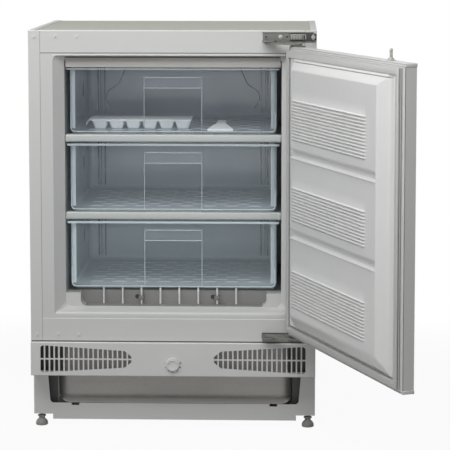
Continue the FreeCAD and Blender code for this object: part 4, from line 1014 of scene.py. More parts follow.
# Hinges
class FREEZER_OT_hinges(bpy.types.Operator):
    """Pressed details of both hinges: housings, rings, rivets and screw heads, with painted highlights and painted
    shade
    """

    bl_idname = "freezer.hinges"
    bl_label = "Hinge details"

    plate_thickness = 3.0 * MM
    # Places along a plate, from its inner end
    hole_places = (7.5 * MM, 51 * MM)
    housing_span = (57 * MM, 86 * MM)
    housing_inset = 3.4 * MM
    ribs = 7
    rib_start = 2.4 * MM
    rib_pitch = 3.2 * MM
    rib_width = 1.8 * MM
    cheek_half = 4.2 * MM
    cheek_depth = 9 * MM
    # Places of the screws along a plate, from its outer end
    screw_places = (30 * MM, 68 * MM)
    # Turned forms: radius and height, in millimetres
    hole_ring = ((2.4, 0.0), (4.2, 0.0), (4.4, 0.5), (3.6, 1.1), (2.6, 0.8), (2.4, 0.0))
    hole_pit = ((0.0, 0.3), (2.4, 0.3), (2.4, 0.0), (0.0, 0.0))
    rivet = ((0.0, 1.6), (1.6, 1.4), (2.8, 0.8), (3.2, 0.0), (0.0, 0.0))
    screw = (
        (0.0, -0.4), (0.9, -0.4), (1.0, 0.0), (3.2, -0.2), (4.6, -1.0), (5.0, -2.0), (2.5, -2.0),
        (2.5, -12.0), (0.0, -13.5),
    )
    # Half sizes of the arms of a screw's cross recess
    recess_arms = ((0.5 * MM, 0, 2.6 * MM), (2.6 * MM, 0, 0.5 * MM))

    def execute(self, context):
        for level in ("upper", "lower"):
            low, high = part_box("hinge_plate_" + level)
            self.plate_details(level, low, high)
            self.arm_details(level)
        self.screws()
        return {"FINISHED"}

    def plate_details(self, level, low, high):
        """What is pressed out of a plate: rings round its holes, a ribbed housing and a cheek at its end, with
        lighter bars of painted highlight and dark strips and pits of painted shade.
        """
        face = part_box("front_top_rail")[0].y - self.plate_thickness
        pressed, rings, bright, dark = (bmesh.new() for _ in range(4))

        def press(bm, across, out, up, bevel=0.0, segments=3):
            """A block: its two ends across, two heights off the plate in millimetres, and two ends up."""
            near, far = face - out[1] * MM, face - out[0] * MM
            block(bm, (across[0], near, up[0]), (across[1], far, up[1]), bevel * MM, segments)

        for place in self.hole_places:
            centre = (low.x + place, face, (low.z + high.z) / 2)
            # Dark pits of painted shade in the holes
            for bm, outline in ((rings, self.hole_ring), (dark, self.hole_pit)):
                lathe(bm, in_metres(outline), centre, (0, -1, 0), 20)
        left, right = (low.x + place for place in self.housing_span)
        bottom, top = low.z + self.housing_inset, high.z - self.housing_inset
        press(pressed, (left, right), (0.0, 5.0), (bottom, top), 1.4)
        # Bar of lighter zinc along the housing's top: painted highlight
        press(bright, (left, right + 4 * MM), (2.0, 5.6), (top - 2.2 * MM, top - 0.4 * MM), 0.6, 2)
        for i in range(self.ribs):
            x = left + self.rib_start + i * self.rib_pitch
            press(bright, (x, x + self.rib_width), (4.0, 5.8), (bottom + 1.2 * MM, top - 3 * MM), 0.5, 2)
        # Dark strips above and below the housing, along the plate's top and beside the housing: painted shade
        for z in (bottom - 1.8 * MM, top + 0.2 * MM):
            press(dark, (left - 2 * MM, high.x - 3 * MM), (0.0, 0.8), (z, z + 1.6 * MM), 0.3, 1)
        press(dark, (low.x, high.x), (-1.0, 0.5), (high.z - 1.3 * MM, high.z + 0.2 * MM))
        press(dark, (right + 1 * MM, high.x + 5.2 * MM), (-2.4, 1.0), (bottom, top + 0.8 * MM), 0.4, 1)
        # Bar of lighter zinc beside the housing: painted highlight
        press(bright, (right + 2 * MM, right + 4.4 * MM), (0.0, 3.0), (bottom + 1 * MM, top - 2 * MM), 0.8, 2)
        self.cheek(bright, high.x - 1.2 * MM, face, bottom + 0.6 * MM, top)
        add_piece(pressed, "hinge_pressings_" + level, finish("zinc_steel"), "cabinet")
        add_piece(bright, "hinge_housing_" + level, finish("bright_zinc"), "cabinet")
        add_piece(rings, "hinge_rings_" + level, finish("grey_plastic"), "cabinet")
        add_piece(dark, "hinge_recesses_" + level, finish("dark_plastic"), "cabinet")

    def cheek(self, bm, middle, face, bottom, top):
        """A drop-shaped cheek that stands out at the plate's outer end."""
        verts = bmesh.ops.create_circle(bm, segments=24, radius=1.0, cap_ends=True)["verts"]
        for vert in verts:
            narrow = 1.0 - 0.55 * max(vert.co.y, 0.0)
            place = Vector((vert.co.x * narrow * self.cheek_half, 0.0, vert.co.y * (top - bottom) / 2))
            vert.co = place + Vector((middle, face, (bottom + top) / 2))
        faces = list({item for vert in verts for item in vert.link_faces})
        made = bmesh.ops.extrude_face_region(bm, geom=faces)["geom"]
        outer = [item for item in made if isinstance(item, bmesh.types.BMVert)]
        bmesh.ops.translate(bm, vec=(0, -self.cheek_depth, 0), verts=outer)
        rim = list({edge for vert in outer for edge in vert.link_edges if edge.other_vert(vert) in outer})
        round_edges(bm, rim, 1.2 * MM)
        bmesh.ops.recalc_face_normals(bm, faces=bm.faces[:])

    def arm_details(self, level):
        """Rivet heads along the swinging arm."""
        low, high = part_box("hinge_arm_" + level)
        first = Vector(JOINTS["hinge_arm_swing"]["pos_m"])
        second = Vector(JOINTS["door_swing"]["pos_m"])
        up = 1.0 if level == "upper" else -1.0
        bm = bmesh.new()
        for share in (0.5, 0.66):
            centre = first.lerp(second, share)
            centre.z = high.z if up > 0 else low.z
            lathe(bm, in_metres(self.rivet), centre, (0, 0, up), 16)
        add_piece(bm, "hinge_arm_rivets_" + level, finish("zinc_steel"), "hinge_arms")

    def screws(self):
        """Pan heads with cross recesses in both plates."""
        bm = bmesh.new()
        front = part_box("hinge_screws")[0].y
        depth = Vector((0, 0.6 * MM, 0))
        for level in ("upper", "lower"):
            low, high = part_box("hinge_plate_" + level)
            for place in self.screw_places:
                centre = Vector((high.x - place, front, (low.z + high.z) / 2))
                lathe(bm, in_metres(self.screw), centre, (0, -1, 0), 20)
                for arm in self.recess_arms:
                    block(bm, centre - Vector(arm) - depth * 0.3, centre + Vector(arm) + depth)
        add_piece(bm, "hinge_pan_screws", finish("bright_zinc"), "cabinet", ["hinge_screws"])


# Drawers and what lies in the top one
class FREEZER_OT_drawers(bpy.types.Operator):
    """Beads, grip frames, ribs and floor ripples of the clear drawers, with painted highlights and painted shade
    """

    bl_idname = "freezer.drawers"
    bl_label = "Drawer details"

    # Share of the rim's band that the top drawer has
    thin_rim = 0.55
    bead_thickness = 1.9 * MM
    # Where the uprights start above the floor and end below the rim
    upright_foot = 12 * MM
    upright_top = 4 * MM
    foot_line_radius = 1.2 * MM
    foot_line_rise = 40 * MM
    wall = 2.6 * MM
    rib_depth = 1.2 * MM
    # Upright ribs in a rear corner: distance from the middle and half width, in millimetres
    ribs = ((-192, 1.5), (-186, 0.8), (-177, 1.3))
    # The slot in a side wall: its size, place from front to back and lean in degrees
    slot_size = (3.0 * MM, 9 * MM, 34 * MM)
    slot_place = 28 * MM
    slot_lean = -16
    # A dark line of painted shade along an edge on the top drawer's rear wall: distance from the middle and below
    # the rim, in millimetres
    rear_line = ((122, 6), (146, 60), (171, 76), (174, 96), (160, 116))
    # Plain stretches of the floor: beside the ripples, before them, and before and behind together
    floor_side = 30 * MM
    floor_front = 65 * MM
    floor_plain = 110 * MM

    def execute(self, context):
        sizes = context.scene.freezer_drawers
        for body, node in DRAWERS.items():
            low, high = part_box(node)
            self.beads(sizes, body, node, low, high)
            self.rear_ribs(sizes, body, node, low, high)
            self.ripples(sizes, body, node, low, high)
        return {"FINISHED"}

    def beads(self, sizes, body, node, low, high):
        """Pale strips that paint the highlights on the front: rim, rounded corners, lower edge and the lines of
        the grip.
        """
        bm = bmesh.new()
        rim = sizes.rim_width
        band = sizes.rim_band * (self.thin_rim if body == "top_drawer" else 1.0)
        corner = Vector((high.x - 1 * MM, low.y + 2 * MM, high.z))
        block(bm, (low.x + 1 * MM, low.y - 0.6 * MM, high.z - band), corner, 0.7 * MM)
        front, side, r = low.y + rim, high.x - rim, sizes.corner
        outer = r - 0.3 * MM
        inner = outer - self.bead_thickness
        bottom, top = low.z + self.upright_foot, high.z - self.upright_top
        for x, start in ((r - side, 180.0), (side - r, 270.0)):
            quarter_column(bm, (x, front + r), inner, outer, bottom, top, start)
        y = front + 0.9 * MM
        foot = low.z + sizes.foot_line
        end = foot + self.foot_line_rise
        edge = side - 3.0 * MM
        line = [(-edge, y, end), (-edge, y, foot), (edge, y, foot), (edge, y, end)]
        wire(bm, eased(line, 9 * MM), self.foot_line_radius)
        half, grip = sizes.grip_half, high.z - sizes.grip_drop
        y = front - 0.2 * MM
        line = [(-half, y, foot), (-half, y, grip), (half, y, grip), (half, y, foot)]
        wire(bm, eased(line, 5 * MM), sizes.line)
        second = grip - sizes.grip_lip
        wire(bm, [(-half, y, second), (half, y, second)], sizes.line)
        add_piece(bm, node + "_beads", finish("clear_edge"), body)

    def rear_ribs(self, sizes, body, node, low, high):
        """Ribs in the rear corners, a slanted slot in each side wall and the top drawer's rear line, in a dark
        tint that paints their shade.
        """
        bm = bmesh.new()
        back = high.y - sizes.rim_width - self.wall
        side = high.x - sizes.rim_width - self.wall
        bottom, top = low.z + self.upright_foot, high.z - self.upright_top
        for sign in (-1, 1):
            for x, half in self.ribs:
                near, far = sorted((sign * (x - half) * MM, sign * (x + half) * MM))
                block(bm, (near, back - self.rib_depth, bottom), (far, back, top), 0.5 * MM, 1)
            slot = bmesh.ops.create_uvsphere(bm, u_segments=12, v_segments=8, radius=0.5)["verts"]
            bmesh.ops.scale(bm, vec=self.slot_size, verts=slot)
            lean = Matrix.Rotation(math.radians(self.slot_lean), 3, "X")
            bmesh.ops.rotate(bm, matrix=lean, verts=slot)
            place = (sign * side, self.slot_place, (low.z + high.z) / 2 + 4 * MM)
            bmesh.ops.translate(bm, vec=place, verts=slot)
            if body == "top_drawer":
                line = [(sign * x * MM, back - 0.4 * MM, high.z - drop * MM) for x, drop in self.rear_line]
                wire(bm, eased(line, 6 * MM), 0.9 * MM)
        add_piece(bm, node + "_ribs", finish("clear_shade"), body)

    def ripples(self, sizes, body, node, low, high):
        """Low oval ripples in rows on the floor, each second row set across by half a step, paler than the floor
        as painted highlights.
        """
        bm = bmesh.new()
        floor = low.z + 2.5 * MM
        pitch_x = (high.x - low.x - 2 * self.floor_side) / sizes.ripple_columns
        pitch_y = (high.y - low.y - self.floor_plain) / sizes.ripple_rows
        for row in range(sizes.ripple_rows):
            for column in range(sizes.ripple_columns - row % 2):
                x = low.x + self.floor_side + pitch_x * (column + 0.5 + 0.5 * (row % 2))
                y = low.y + self.floor_front + pitch_y * (row + 0.5)
                verts = bmesh.ops.create_uvsphere(bm, u_segments=10, v_segments=4, radius=0.5)["verts"]
                size = (sizes.ripple_length, sizes.ripple_width, 2 * sizes.ripple_rise)
                bmesh.ops.scale(bm, vec=size, verts=verts)
                bmesh.ops.translate(bm, vec=(x, y, floor), verts=verts)
        add_piece(bm, node + "_ripples", finish("clear_ripple"), body)


class FREEZER_OT_ice_tray(bpy.types.Operator):
    """Ice tray with two rows of tapered cells and a hooked tab"""

    bl_idname = "freezer.ice_tray"
    bl_label = "Ice tray"

    columns = 6
    rows = 2
    tab = 14 * MM
    wall = 1.2 * MM
    cell_inset = 2.2 * MM
    cell_rounding = 3.4 * MM
    # Share of a cell's depth, and how far it narrows by then
    cell_steps = ((0.25, 0.95), (0.75, 0.74))
    rim_height = 2.6 * MM
    rim_overhang = 0.8 * MM
    skirt_height = 3.6 * MM
    # The hooked tab's steps, across and down, in millimetres
    hook = ((-6.0, -0.6), (-4.5, -3.0), (-2.5, -8.0))
    drop = 5.4 * MM
    tilt = 1.8

    def execute(self, context):
        low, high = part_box("ice_tray")
        bm = bmesh.new()
        left = low.x + self.tab
        size = Vector((high.x - left, high.y - low.y, 0.0))
        bmesh.ops.create_grid(bm, x_segments=self.columns, y_segments=self.rows, size=0.5)
        bmesh.ops.scale(bm, vec=(size.x, size.y, 1.0), verts=bm.verts[:])
        middle = Vector(((left + high.x) / 2, (low.y + high.y) / 2, high.z - self.drop))
        bmesh.ops.translate(bm, vec=middle, verts=bm.verts[:])
        cells = bm.faces[:]
        bmesh.ops.inset_individual(bm, faces=cells, thickness=self.cell_inset, use_even_offset=True)
        deep = high.z - self.drop - low.z - self.wall
        for share, narrowing in self.cell_steps:
            cells = bmesh.ops.extrude_discrete_faces(bm, faces=cells)["faces"]
            for cell in cells:
                verts = cell.verts[:]
                about = Matrix.Translation(-cell.calc_center_median())
                bmesh.ops.scale(bm, vec=(narrowing, narrowing, 1.0), verts=verts, space=about)
                bmesh.ops.translate(bm, vec=(0, 0, -deep * share), verts=verts)
        steep = deep * 0.1
        inner = [edge for edge in bm.edges if len(edge.link_faces) == 2]
        walls = [edge for edge in inner if abs(edge.verts[0].co.z - edge.verts[1].co.z) > steep]
        floors = list({edge for cell in cells for edge in cell.edges})
        round_edges(bm, walls + floors, self.cell_rounding, 3)
        self.skirt(bm, left)
        lean = Matrix.Rotation(math.radians(self.tilt), 3, "X")
        self.rim(low, high, left, middle, lean)
        bmesh.ops.rotate(bm, cent=middle, matrix=lean, verts=bm.verts[:])
        bmesh.ops.recalc_face_normals(bm, faces=bm.faces[:])
        bmesh.ops.solidify(bm, geom=bm.faces[:], thickness=self.wall)
        bmesh.ops.recalc_face_normals(bm, faces=bm.faces[:])
        add_piece(bm, "ice_tray_moulding", finish("ice_ware"), "tray", ["ice_tray"], 50.0)
        return {"FINISHED"}

    def rim(self, low, high, left, middle, lean):
        """The flat rim over the cells."""
        bm = bmesh.new()
        edge = Vector((1.0, 1.0, 0.0)) * self.rim_overhang
        top = middle.z + 0.3 * MM
        start, end = Vector((left, low.y, top - self.rim_height)), Vector((high.x, high.y, top))
        block(bm, start - edge, end + edge, 1.2 * MM)
        bmesh.ops.rotate(bm, cent=middle, matrix=lean, verts=bm.verts[:])
        add_piece(bm, "ice_tray_rim", finish("ice_ware"), "tray")

    def skirt(self, bm, left):
        """A turned-down edge all round, and the tab that hooks down at the left end."""
        outer = [edge for edge in bm.edges if edge.is_boundary]
        tab = [edge for edge in outer if all(vert.co.x < left + 0.1 * MM for vert in edge.verts)]
        verts = extruded(bm, [edge for edge in outer if edge not in tab])[1]
        bmesh.ops.translate(bm, vec=(0, 0, -self.skirt_height), verts=verts)
        for across, down in self.hook:
            tab, verts = extruded(bm, tab)
            bmesh.ops.translate(bm, vec=(across * MM, 0, down * MM), verts=verts)
        bmesh.ops.remove_doubles(bm, verts=bm.verts[:], dist=1e-6)


class FREEZER_OT_ice_scraper(bpy.types.Operator):
    """Ice scraper: a broad blade that narrows into a raised grip"""

    bl_idname = "freezer.ice_scraper"
    bl_label = "Ice scraper"

    # Distance back from the blade's edge, width and height, in millimetres
    sections = ((0, 54, 5.0), (4, 54, 6.0), (30, 36, 10.5), (44, 22, 13.0), (112, 20, 14.0), (118, 16, 10.0))

    def execute(self, context):
        low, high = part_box("ice_scraper")
        middle = (low.x + high.x) / 2
        bm = bmesh.new()
        loops = []
        for back, width, height in self.sections:
            half, y, top = width / 2 * MM, low.y + back * MM, low.z + height * MM
            crown = top - 0.15 * (top - low.z)
            inner = half * 0.86
            right = [(half, low.z), (half, crown), (inner, top)]
            left = [(-x, z) for x, z in reversed(right)]
            loops.append(ring_loop(bm, [(middle + x, y, z) for x, z in right + left]))
        bridged(bm, loops)
        capped(bm, loops[0], loops[-1])
        round_edges(bm, bm.edges[:], 0.7 * MM)
        add_piece(bm, "ice_scraper_moulding", finish("ice_ware"), "scraper", ["ice_scraper"])
        return {"FINISHED"}


# Shelves and rack
class FREEZER_OT_shelf_trims(bpy.types.Operator):
    """Rounded strips on the front of the shelves with their end caps"""

    bl_idname = "freezer.shelf_trims"
    bl_label = "Shelf trims"

    height = 16 * MM
    drawer_gap = 1 * MM
    rounding = 3.2 * MM
    cap = 9 * MM
    cap_proud = 0.8 * MM
    cap_rounding = 4.0 * MM
    ceiling_rise = 4.5 * MM
    ceiling_height = 17 * MM
    ceiling_inset = 2 * MM

    def execute(self, context):
        low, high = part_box("shelf_trims")
        bm = bmesh.new()
        for node in ("drawer_middle", "drawer_top"):
            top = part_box(node)[0].z - self.drawer_gap
            bottom = top - self.height
            block(bm, (low.x + 1 * MM, low.y, bottom), (high.x - 1 * MM, high.y, top), self.rounding)
            front, foot = low.y - self.cap_proud, bottom - self.cap_proud
            for near, far in ((low.x, low.x + self.cap), (high.x - self.cap, high.x)):
                block(bm, (near, front, foot), (far, high.y, top), self.cap_rounding)
        start = (low.x + self.ceiling_inset, low.y, high.z - self.ceiling_height)
        end = (high.x - self.ceiling_inset, high.y, high.z + self.ceiling_rise)
        block(bm, start, end, 1.0 * MM)
        add_piece(bm, "shelf_trim_strips", finish("shelf_trim"), "cabinet", ["shelf_trims"])
        return {"FINISHED"}


class FREEZER_OT_rack_clips(bpy.types.Operator):
    """Clips that hold two of the rack's upright wires, each with a dark hole beside the wire"""

    bl_idname = "freezer.rack_clips"
    bl_label = "Rack clips"

    wire_lap = 5 * MM
    width = 19 * MM
    # A clip's reach to the left and right of the wire that it holds
    reach = (6 * MM, 5 * MM)
    hole_place = 9.5 * MM
    # The dark hole: radius and height, in millimetres
    hole = ((0.0, 0.6), (3.4, 0.6), (4.6, 0.9), (4.8, 0.0), (0.0, 0.0))
    wires = 8
    first_wire = -149 * MM
    wire_pitch = 40 * MM
    wire_radius = 1.5 * MM
    coat = 2.1 * MM

    def execute(self, context):
        low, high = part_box("rack_clips")
        lights, darks = bmesh.new(), bmesh.new()
        wire_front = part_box("bottom_rack")[0].y - self.coat
        for right in (low.x + self.width, high.x):
            held = right - self.wire_lap
            start = (held - self.reach[0], wire_front - 1 * MM, low.z)
            block(lights, start, (held + self.reach[1], high.y, high.z), 1.5 * MM)
            centre = (held - self.hole_place, high.y, (low.z + high.z) / 2)
            lathe(darks, in_metres(self.hole), centre, (0, -1, 0), 20)
        look = finish("grey_plastic")
        add_piece(lights, "rack_clip_bodies", look, "cabinet", ["rack_clips"])
        add_piece(darks, "rack_clip_holes", finish("dark_plastic"), "cabinet")
        self.wire_coats()
        return {"FINISHED"}

    def wire_coats(self):
        """Thick enamel on the upright ends of the rack's wires."""
        low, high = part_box("bottom_rack")
        bm = bmesh.new()
        for index in range(self.wires):
            x = self.first_wire + index * self.wire_pitch
            y = low.y + self.wire_radius
            rod(bm, (x, y, low.z + 0.6 * MM), (x, y, high.z - self.wire_radius), self.coat, 14)
        add_piece(bm, "rack_wire_coats", finish("white_enamel_wire"), "cabinet")


# Cabinet edges, vent panel, knob and feet
class FREEZER_OT_cabinet_edges(bpy.types.Operator):
    """Folded edges with painted highlights, dark seams of painted shade, plug tips and the baffles beside the duct
    """

    bl_idname = "freezer.cabinet_edges"
    bl_label = "Cabinet edges and seams"

    mouth_side = 22 * MM
    lip_top = 791.2 * MM
    upstand = 8.2 * MM
    proud = 0.25 * MM
    # Lower and upper edge of the dark strip of painted shade over the ceiling trim
    ceiling_painted_shade = (784.6 * MM, 787.2 * MM)
    plug_radius = 4.5 * MM
    plugs = 3
    # A plug's tip: radius and height, in millimetres
    plug_tip = ((0.0, 1.5), (0.9, 1.4), (1.6, 0.9), (2.0, 0.0), (0.0, -0.4))

    # The mouth's lower lip and sill, from the front: depth behind the front, and height, in millimetres
    sill = (
        (0.4, 239.4), (-0.1, 247.5), (0.5, 250.0), (2.4, 252.4), (6.0, 254.2), (10.0, 255.6), (14.0, 257.4),
        (21.0, 262.0), (20.0, 259.0), (4.0, 243.0),
    )

    def execute(self, context):
        self.folds()
        self.mouth_sill()
        self.seams()
        self.plug_tips()
        self.baffles()
        return {"FINISHED"}

    def folds(self):
        """Rounded edges in a lighter white that paints the highlight where they catch the light, and the strip
        that stands up on the lower rail.
        """
        top, low_rail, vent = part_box("front_top_rail"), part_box("front_bottom_rail"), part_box("vent_panel")
        front = top[0].y
        wide = vent[1].x - 1.5 * MM
        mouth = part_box("shelf_trims")[1].x + self.mouth_side
        rail_top = low_rail[1].z + self.upstand
        lines = (
            ("top_fold", wide, front, top[1].z - 1.0 * MM, 1.4 * MM),
            ("mouth_top_lip", mouth, front, self.lip_top, 1.2 * MM),
            ("lower_rail_fold", low_rail[1].x, front, rail_top, 1.0 * MM),
            ("vent_fold", wide, vent[0].y, vent[1].z - 0.8 * MM, 1.2 * MM),
        )
        # Each rod is drawn in the lighter white of the painted highlight
        for name, half, face, z, radius in lines:
            bm = bmesh.new()
            y = face - self.proud + radius
            rod(bm, (-half, y, z), (half, y, z), radius)
            add_piece(bm, name, finish("bare_edge"), "cabinet")
        bm = bmesh.new()
        low = Vector((low_rail[0].x, front - self.proud / 2, low_rail[1].z - 2 * MM))
        block(bm, low, (low_rail[1].x, front + 6 * MM, rail_top))
        add_piece(bm, "lower_rail_upstand", finish("white_paint"), "cabinet")

    def mouth_sill(self):
        """The liner's rounded lower lip, mitred at both ends like the flare it lies on."""
        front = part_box("front_top_rail")[0].y
        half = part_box("shelf_trims")[1].x + self.mouth_side - 1 * MM
        bm = bmesh.new()
        first = ring_loop(bm, [(-half + depth * MM, front + depth * MM, z * MM) for depth, z in self.sill])
        last, verts = extruded(bm, first)
        for vert in verts:
            vert.co.x = -vert.co.x
        capped(bm, first, last)
        add_piece(bm, "mouth_sill", finish("liner_plastic"), "cabinet")

    def seams(self):
        """Dark strips of painted shadow in the gaps under the top rail, over the ceiling trim and behind the vent
        panel's upper edge.
        """
        top, vent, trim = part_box("front_top_rail"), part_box("vent_panel"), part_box("shelf_trims")
        front = top[0].y
        back = front + 1 * MM
        bm = bmesh.new()
        under = top[0].z
        block(bm, (top[0].x, front - self.proud, under - 0.8 * MM), (top[1].x, back, under + 0.5 * MM))
        wide, over = vent[1].x - 1 * MM, vent[1].z
        block(bm, (-wide, front - 0.6 * MM, over - 0.2 * MM), (wide, back, over + 2.2 * MM))
        half, trim_front = trim[1].x - 2 * MM, trim[0].y
        low, high = self.ceiling_painted_shade
        block(bm, (-half, trim_front - 8 * MM, low), (half, trim_front - 0.5 * MM, high))
        add_piece(bm, "shadow_gaps", finish("dark_plastic"), "cabinet")

    def plug_tips(self):
        """A small domed tip on each blanking plug."""
        low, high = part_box("hole_plugs")
        radius = self.plug_radius
        pitch = (high.x - low.x - 2 * radius) / (self.plugs - 1)
        bm = bmesh.new()
        for z in (low.z + radius, high.z - radius):
            for i in range(self.plugs):
                x = low.x + radius + i * pitch
                lathe(bm, in_metres(self.plug_tip), (x, low.y, z), (0, -1, 0), 16)
        add_piece(bm, "plug_tips", finish("white_plastic"), "cabinet")

    def baffles(self):
        """Foam strips that close the sides beside the duct panel, dark to paint the shade seen through the vent's
        end slots.
        """
        low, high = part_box("air_duct_panel")
        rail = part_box("base_side_rails")[1].x - 3 * MM
        bm = bmesh.new()
        for near, far in ((-rail, low.x), (high.x, rail)):
            block(bm, (near, low.y, low.z), (far, low.y + 3 * MM, high.z - 0.5 * MM))
        add_piece(bm, "duct_baffles", finish("dark_plastic"), "cabinet")


class FREEZER_OT_thermostat(bpy.types.Operator):
    """Thermostat knob with a curved ridge, and plain marks round it"""

    bl_idname = "freezer.thermostat"
    bl_label = "Thermostat knob"

    shaft_radius = 3.0 * MM
    shaft_length = 17 * MM
    ridge_radius = 1.9 * MM
    # The ridge's first and last direction, in degrees
    ridge_sweep = (20, 160)
    ridge_steps = 10
    marks = 7
    mark_sweep = 200.0

    def execute(self, context):
        low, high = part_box("thermostat_knob")
        centre = Vector(((low.x + high.x) / 2, 0.0, (low.z + high.z) / 2))
        radius = (high.x - low.x) / 2
        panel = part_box("vent_panel")[0].y
        bm = bmesh.new()
        deep = panel - low.y
        profile = [
            (0.0, deep - 1.6 * MM), (radius * 0.72, deep - 1.6 * MM), (radius * 0.8, deep - 1.0 * MM),
            (radius * 0.86, deep - 1.0 * MM), (radius * 0.95, deep - 1.8 * MM), (radius, deep - 3.4 * MM),
            (radius, 0.4 * MM), (self.shaft_radius, 0.4 * MM), (self.shaft_radius, -self.shaft_length),
            (0.0, -self.shaft_length),
        ]
        lathe(bm, profile, (centre.x, panel, centre.z), (0, -1, 0), 48)
        reach = radius * 0.62
        turns = [math.radians(turn) for turn in stations([(*self.ridge_sweep, self.ridge_steps)])]
        y = panel - deep + 2.2 * MM
        ridge = [(centre.x + reach * math.cos(a), y, centre.z + reach * math.sin(a)) for a in turns]
        wire(bm, ridge, self.ridge_radius)
        look = finish("white_plastic")
        add_piece(bm, "thermostat_dial", look, "knob", ["thermostat_knob"])
        self.dots(centre, radius, panel)
        return {"FINISHED"}

    def dots(self, centre, radius, panel):
        """Round marks that grow along the knob's sweep."""
        bm = bmesh.new()
        for index in range(self.marks):
            angle = math.radians(self.mark_sweep * index / (self.marks - 1) - 90 - self.mark_sweep / 2)
            reach = radius + 2.2 * MM
            spot = (centre.x + reach * math.cos(angle), panel + 0.3 * MM, centre.z + reach * math.sin(angle))
            size = 0.8 + 0.12 * index
            dot = ((0.0, 0.7), (size * 0.7, 0.65), (size, 0.3), (size, 0.0), (0.0, 0.0))
            lathe(bm, in_metres(dot), spot, (0, -1, 0), 12)
        add_piece(bm, "thermostat_marks", finish("dark_plastic"), "cabinet")


class FREEZER_OT_feet(bpy.types.Operator):
    """Levelling feet: a bulb on a threaded stud"""

    bl_idname = "freezer.feet"
    bl_label = "Levelling feet"

    thread_pitch = 2.0 * MM
    thread_radii = (3.4 * MM, 4.0 * MM)
    plain_tip = 2 * MM
    bulb_height = 22 * MM
    # Radius and height, in millimetres
    bulb = (
        (0.0, 0.0), (10.5, 0.0), (12.6, 0.8), (13.0, 2.6), (12.8, 5.6), (12.0, 8.4), (10.2, 11.2),
        (7.8, 13.2), (6.6, 14.6), (6.3, 16.2), (6.6, 18.0), (8.6, 19.2), (9.0, 20.6), (8.4, 21.6),
        (4.0, 22.0),
    )

    def execute(self, context):
        for corner in FEET:
            node = "foot_" + corner
            low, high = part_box(node)
            centre = Vector(((low.x + high.x) / 2, (low.y + high.y) / 2, low.z))
            tall, pitch = high.z - low.z, self.thread_pitch
            root, crest = self.thread_radii
            profile = in_metres(self.bulb)
            turns = int((tall - self.bulb_height - self.plain_tip) / pitch)
            for turn in range(turns):
                base = self.bulb_height + turn * pitch
                profile += [(root, base + pitch * 0.3), (crest, base + pitch)]
            profile += [(3.0 * MM, tall), (0.0, tall)]
            bm = bmesh.new()
            lathe(bm, profile, centre, (0, 0, 1), 28)
            add_piece(bm, node + "_turned", finish("grey_plastic"), corner + "_foot", [node])
        return {"FINISHED"}


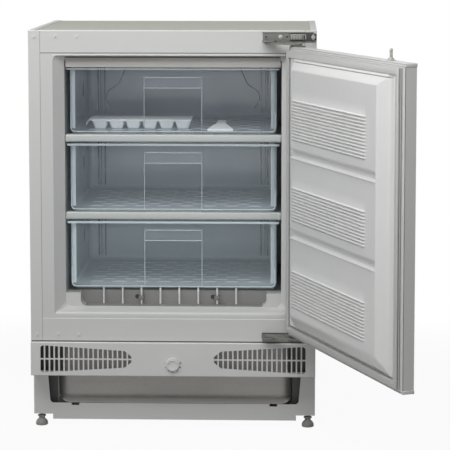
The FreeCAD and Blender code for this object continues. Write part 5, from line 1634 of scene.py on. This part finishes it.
# Stage
class FREEZER_OT_stage(bpy.types.Operator):
    """Floor, soft studio light, white surroundings and the camera"""

    bl_idname = "freezer.stage"
    bl_label = "Studio stage"

    camera_place = (0.259, -4.502, 1.040)
    camera_tilt = (83.8, 0.0, 1.95)
    camera_shift = (-0.0056, -0.149)
    floor_reach = 60.0
    # Squared distances between which the floor turns all white
    white_from = (0.5, 1.6)
    # Place, target and size of each softbox, in metres
    softboxes = {
        "key": ((-0.36, -1.42, 1.86), (0.0, -0.25, 0.65), (2.0, 1.0)),
        "fill": ((0.35, -3.3, 0.4), (0.0, -0.2, 0.4), (1.6, 1.0)),
        "side": ((-2.2, -0.55, 0.6), (0.4, -0.55, 0.5), (0.8, 1.2)),
    }

    def execute(self, context):
        stage = context.scene.freezer_stage
        self.floor(stage)
        self.surroundings(stage)
        for name, places in self.softboxes.items():
            self.lamp(name + "_softbox", *places, getattr(stage, name + "_power"))
        self.camera(context.scene, stage)
        context.scene.view_settings.view_transform = "Standard"
        return {"FINISHED"}

    def seen_directly(self, shader):
        """1 for what the camera, a mirror or glass sees, 0 for light that is scattered."""
        kinds = ("Is Camera Ray", "Is Glossy Ray", "Is Transmission Ray")
        camera, mirrored, through = (shader.node("ShaderNodeLightPath", output=kind) for kind in kinds)
        return shader.maths("MAXIMUM", shader.maths("MAXIMUM", camera, mirrored), through)

    def floor(self, stage):
        bm = bmesh.new()
        bmesh.ops.create_grid(bm, x_segments=1, y_segments=1, size=self.floor_reach)
        mesh = bpy.data.meshes.new("studio_floor")
        bm.to_mesh(mesh)
        bm.free()
        material = bpy.data.materials.new("studio_floor")
        shader = Shader(material)
        matte = shader.node("ShaderNodeBsdfDiffuse", sockets={"Color": rgba(stage.floor_colour)})
        white = shader.node("ShaderNodeEmission", sockets={"Strength": 1.0})
        share = self.seen_directly(shader) * self.white_share(shader, stage.floor_white)
        mixed = shader.node("ShaderNodeMixShader", sockets={0: share, 1: matte, 2: white})
        shader.node("ShaderNodeOutputMaterial", sockets={"Surface": mixed})
        mesh.materials.append(material)
        floor = bpy.data.objects.new("studio_floor", mesh)
        bpy.context.scene.collection.objects.link(floor)

    def white_share(self, shader, near):
        """How much plain white the floor shows: none under the part, some round it and all of it far off."""
        x, y = shader.along("X"), shader.along("Y")
        far = shader.step(x * x + y * y, *self.white_from)
        low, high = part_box("base_side_rails")
        out_x = shader.step(shader.maths("ABSOLUTE", x, 0.0), high.x - 20 * MM, high.x)
        out_front = 1 - shader.step(y, low.y + 120 * MM, low.y + 180 * MM)
        out_back = shader.step(y, high.y - 20 * MM, high.y)
        outside = shader.maths("MAXIMUM", shader.maths("MAXIMUM", out_x, out_front), out_back)
        return outside * shader.spread(far, near, 1.0)

    def surroundings(self, stage):
        world = bpy.data.worlds.new("studio_surroundings")
        shader = Shader(world)
        white = rgba((1, 1, 1))
        soft, plain = (
            shader.node("ShaderNodeBackground", sockets={"Color": white, "Strength": strength})
            for strength in (stage.ambient, 1.0)
        )
        mixed = shader.node("ShaderNodeMixShader", sockets={0: self.seen_directly(shader), 1: soft, 2: plain})
        shader.node("ShaderNodeOutputWorld", sockets={"Surface": mixed})
        bpy.context.scene.world = world

    def lamp(self, name, place, target, size, power):
        data = bpy.data.lights.new(name, "AREA")
        data.shape = "RECTANGLE"
        data.size, data.size_y = size
        data.energy = power
        lamp = bpy.data.objects.new(name, data)
        lamp.location = place
        lamp.rotation_euler = (Vector(target) - Vector(place)).to_track_quat("-Z", "Y").to_euler()
        bpy.context.scene.collection.objects.link(lamp)

    def camera(self, scene, stage):
        data = bpy.data.cameras.new("photo_camera")
        data.lens = stage.lens
        data.shift_x, data.shift_y = self.camera_shift
        camera = bpy.data.objects.new("photo_camera", data)
        camera.location = self.camera_place
        camera.rotation_euler = [math.radians(angle) for angle in self.camera_tilt]
        scene.collection.objects.link(camera)
        scene.camera = camera


class FREEZER_PT_sidebar(bpy.types.Panel):
    """Lists the freezer's pieces and settings"""

    bl_idname = "FREEZER_PT_sidebar"
    bl_label = "Undercounter freezer"
    bl_space_type = "VIEW_3D"
    bl_region_type = "UI"
    bl_category = "Freezer"

    def draw(self, context):
        column = self.layout.column(align=True)
        for operator in OPERATORS:
            column.operator(operator.bl_idname)
        for group in settings():
            box = self.layout.box()
            for name in group.bl_rna.properties.keys():
                if name not in ("rna_type", "name"):
                    box.prop(group, name)


GROUPS = {
    "freezer_colours": FreezerColours,
    "freezer_door": DoorLinerSizes,
    "freezer_drawers": DrawerSizes,
    "freezer_stage": StageSettings,
}
OPERATORS = (
    FREEZER_OT_finishes,
    FREEZER_OT_door_liner,
    FREEZER_OT_door_gasket,
    FREEZER_OT_door_caps,
    FREEZER_OT_furniture_stud,
    FREEZER_OT_hinges,
    FREEZER_OT_drawers,
    FREEZER_OT_ice_tray,
    FREEZER_OT_ice_scraper,
    FREEZER_OT_shelf_trims,
    FREEZER_OT_rack_clips,
    FREEZER_OT_cabinet_edges,
    FREEZER_OT_thermostat,
    FREEZER_OT_feet,
    FREEZER_OT_stage,
)


def register():
    for group in GROUPS.values():
        bpy.utils.register_class(group)
    for name, group in GROUPS.items():
        setattr(bpy.types.Scene, name, PointerProperty(type=group))
    for operator in OPERATORS:
        bpy.utils.register_class(operator)
    bpy.utils.register_class(FREEZER_PT_sidebar)


def unregister():
    bpy.utils.unregister_class(FREEZER_PT_sidebar)
    for operator in reversed(OPERATORS):
        bpy.utils.unregister_class(operator)
    for name, group in GROUPS.items():
        delattr(bpy.types.Scene, name)
        bpy.utils.unregister_class(group)


def main():
    register()
    for operator in OPERATORS:
        getattr(bpy.ops.freezer, operator.bl_idname.split(".")[1])()


if __name__ == "__main__":
    main()
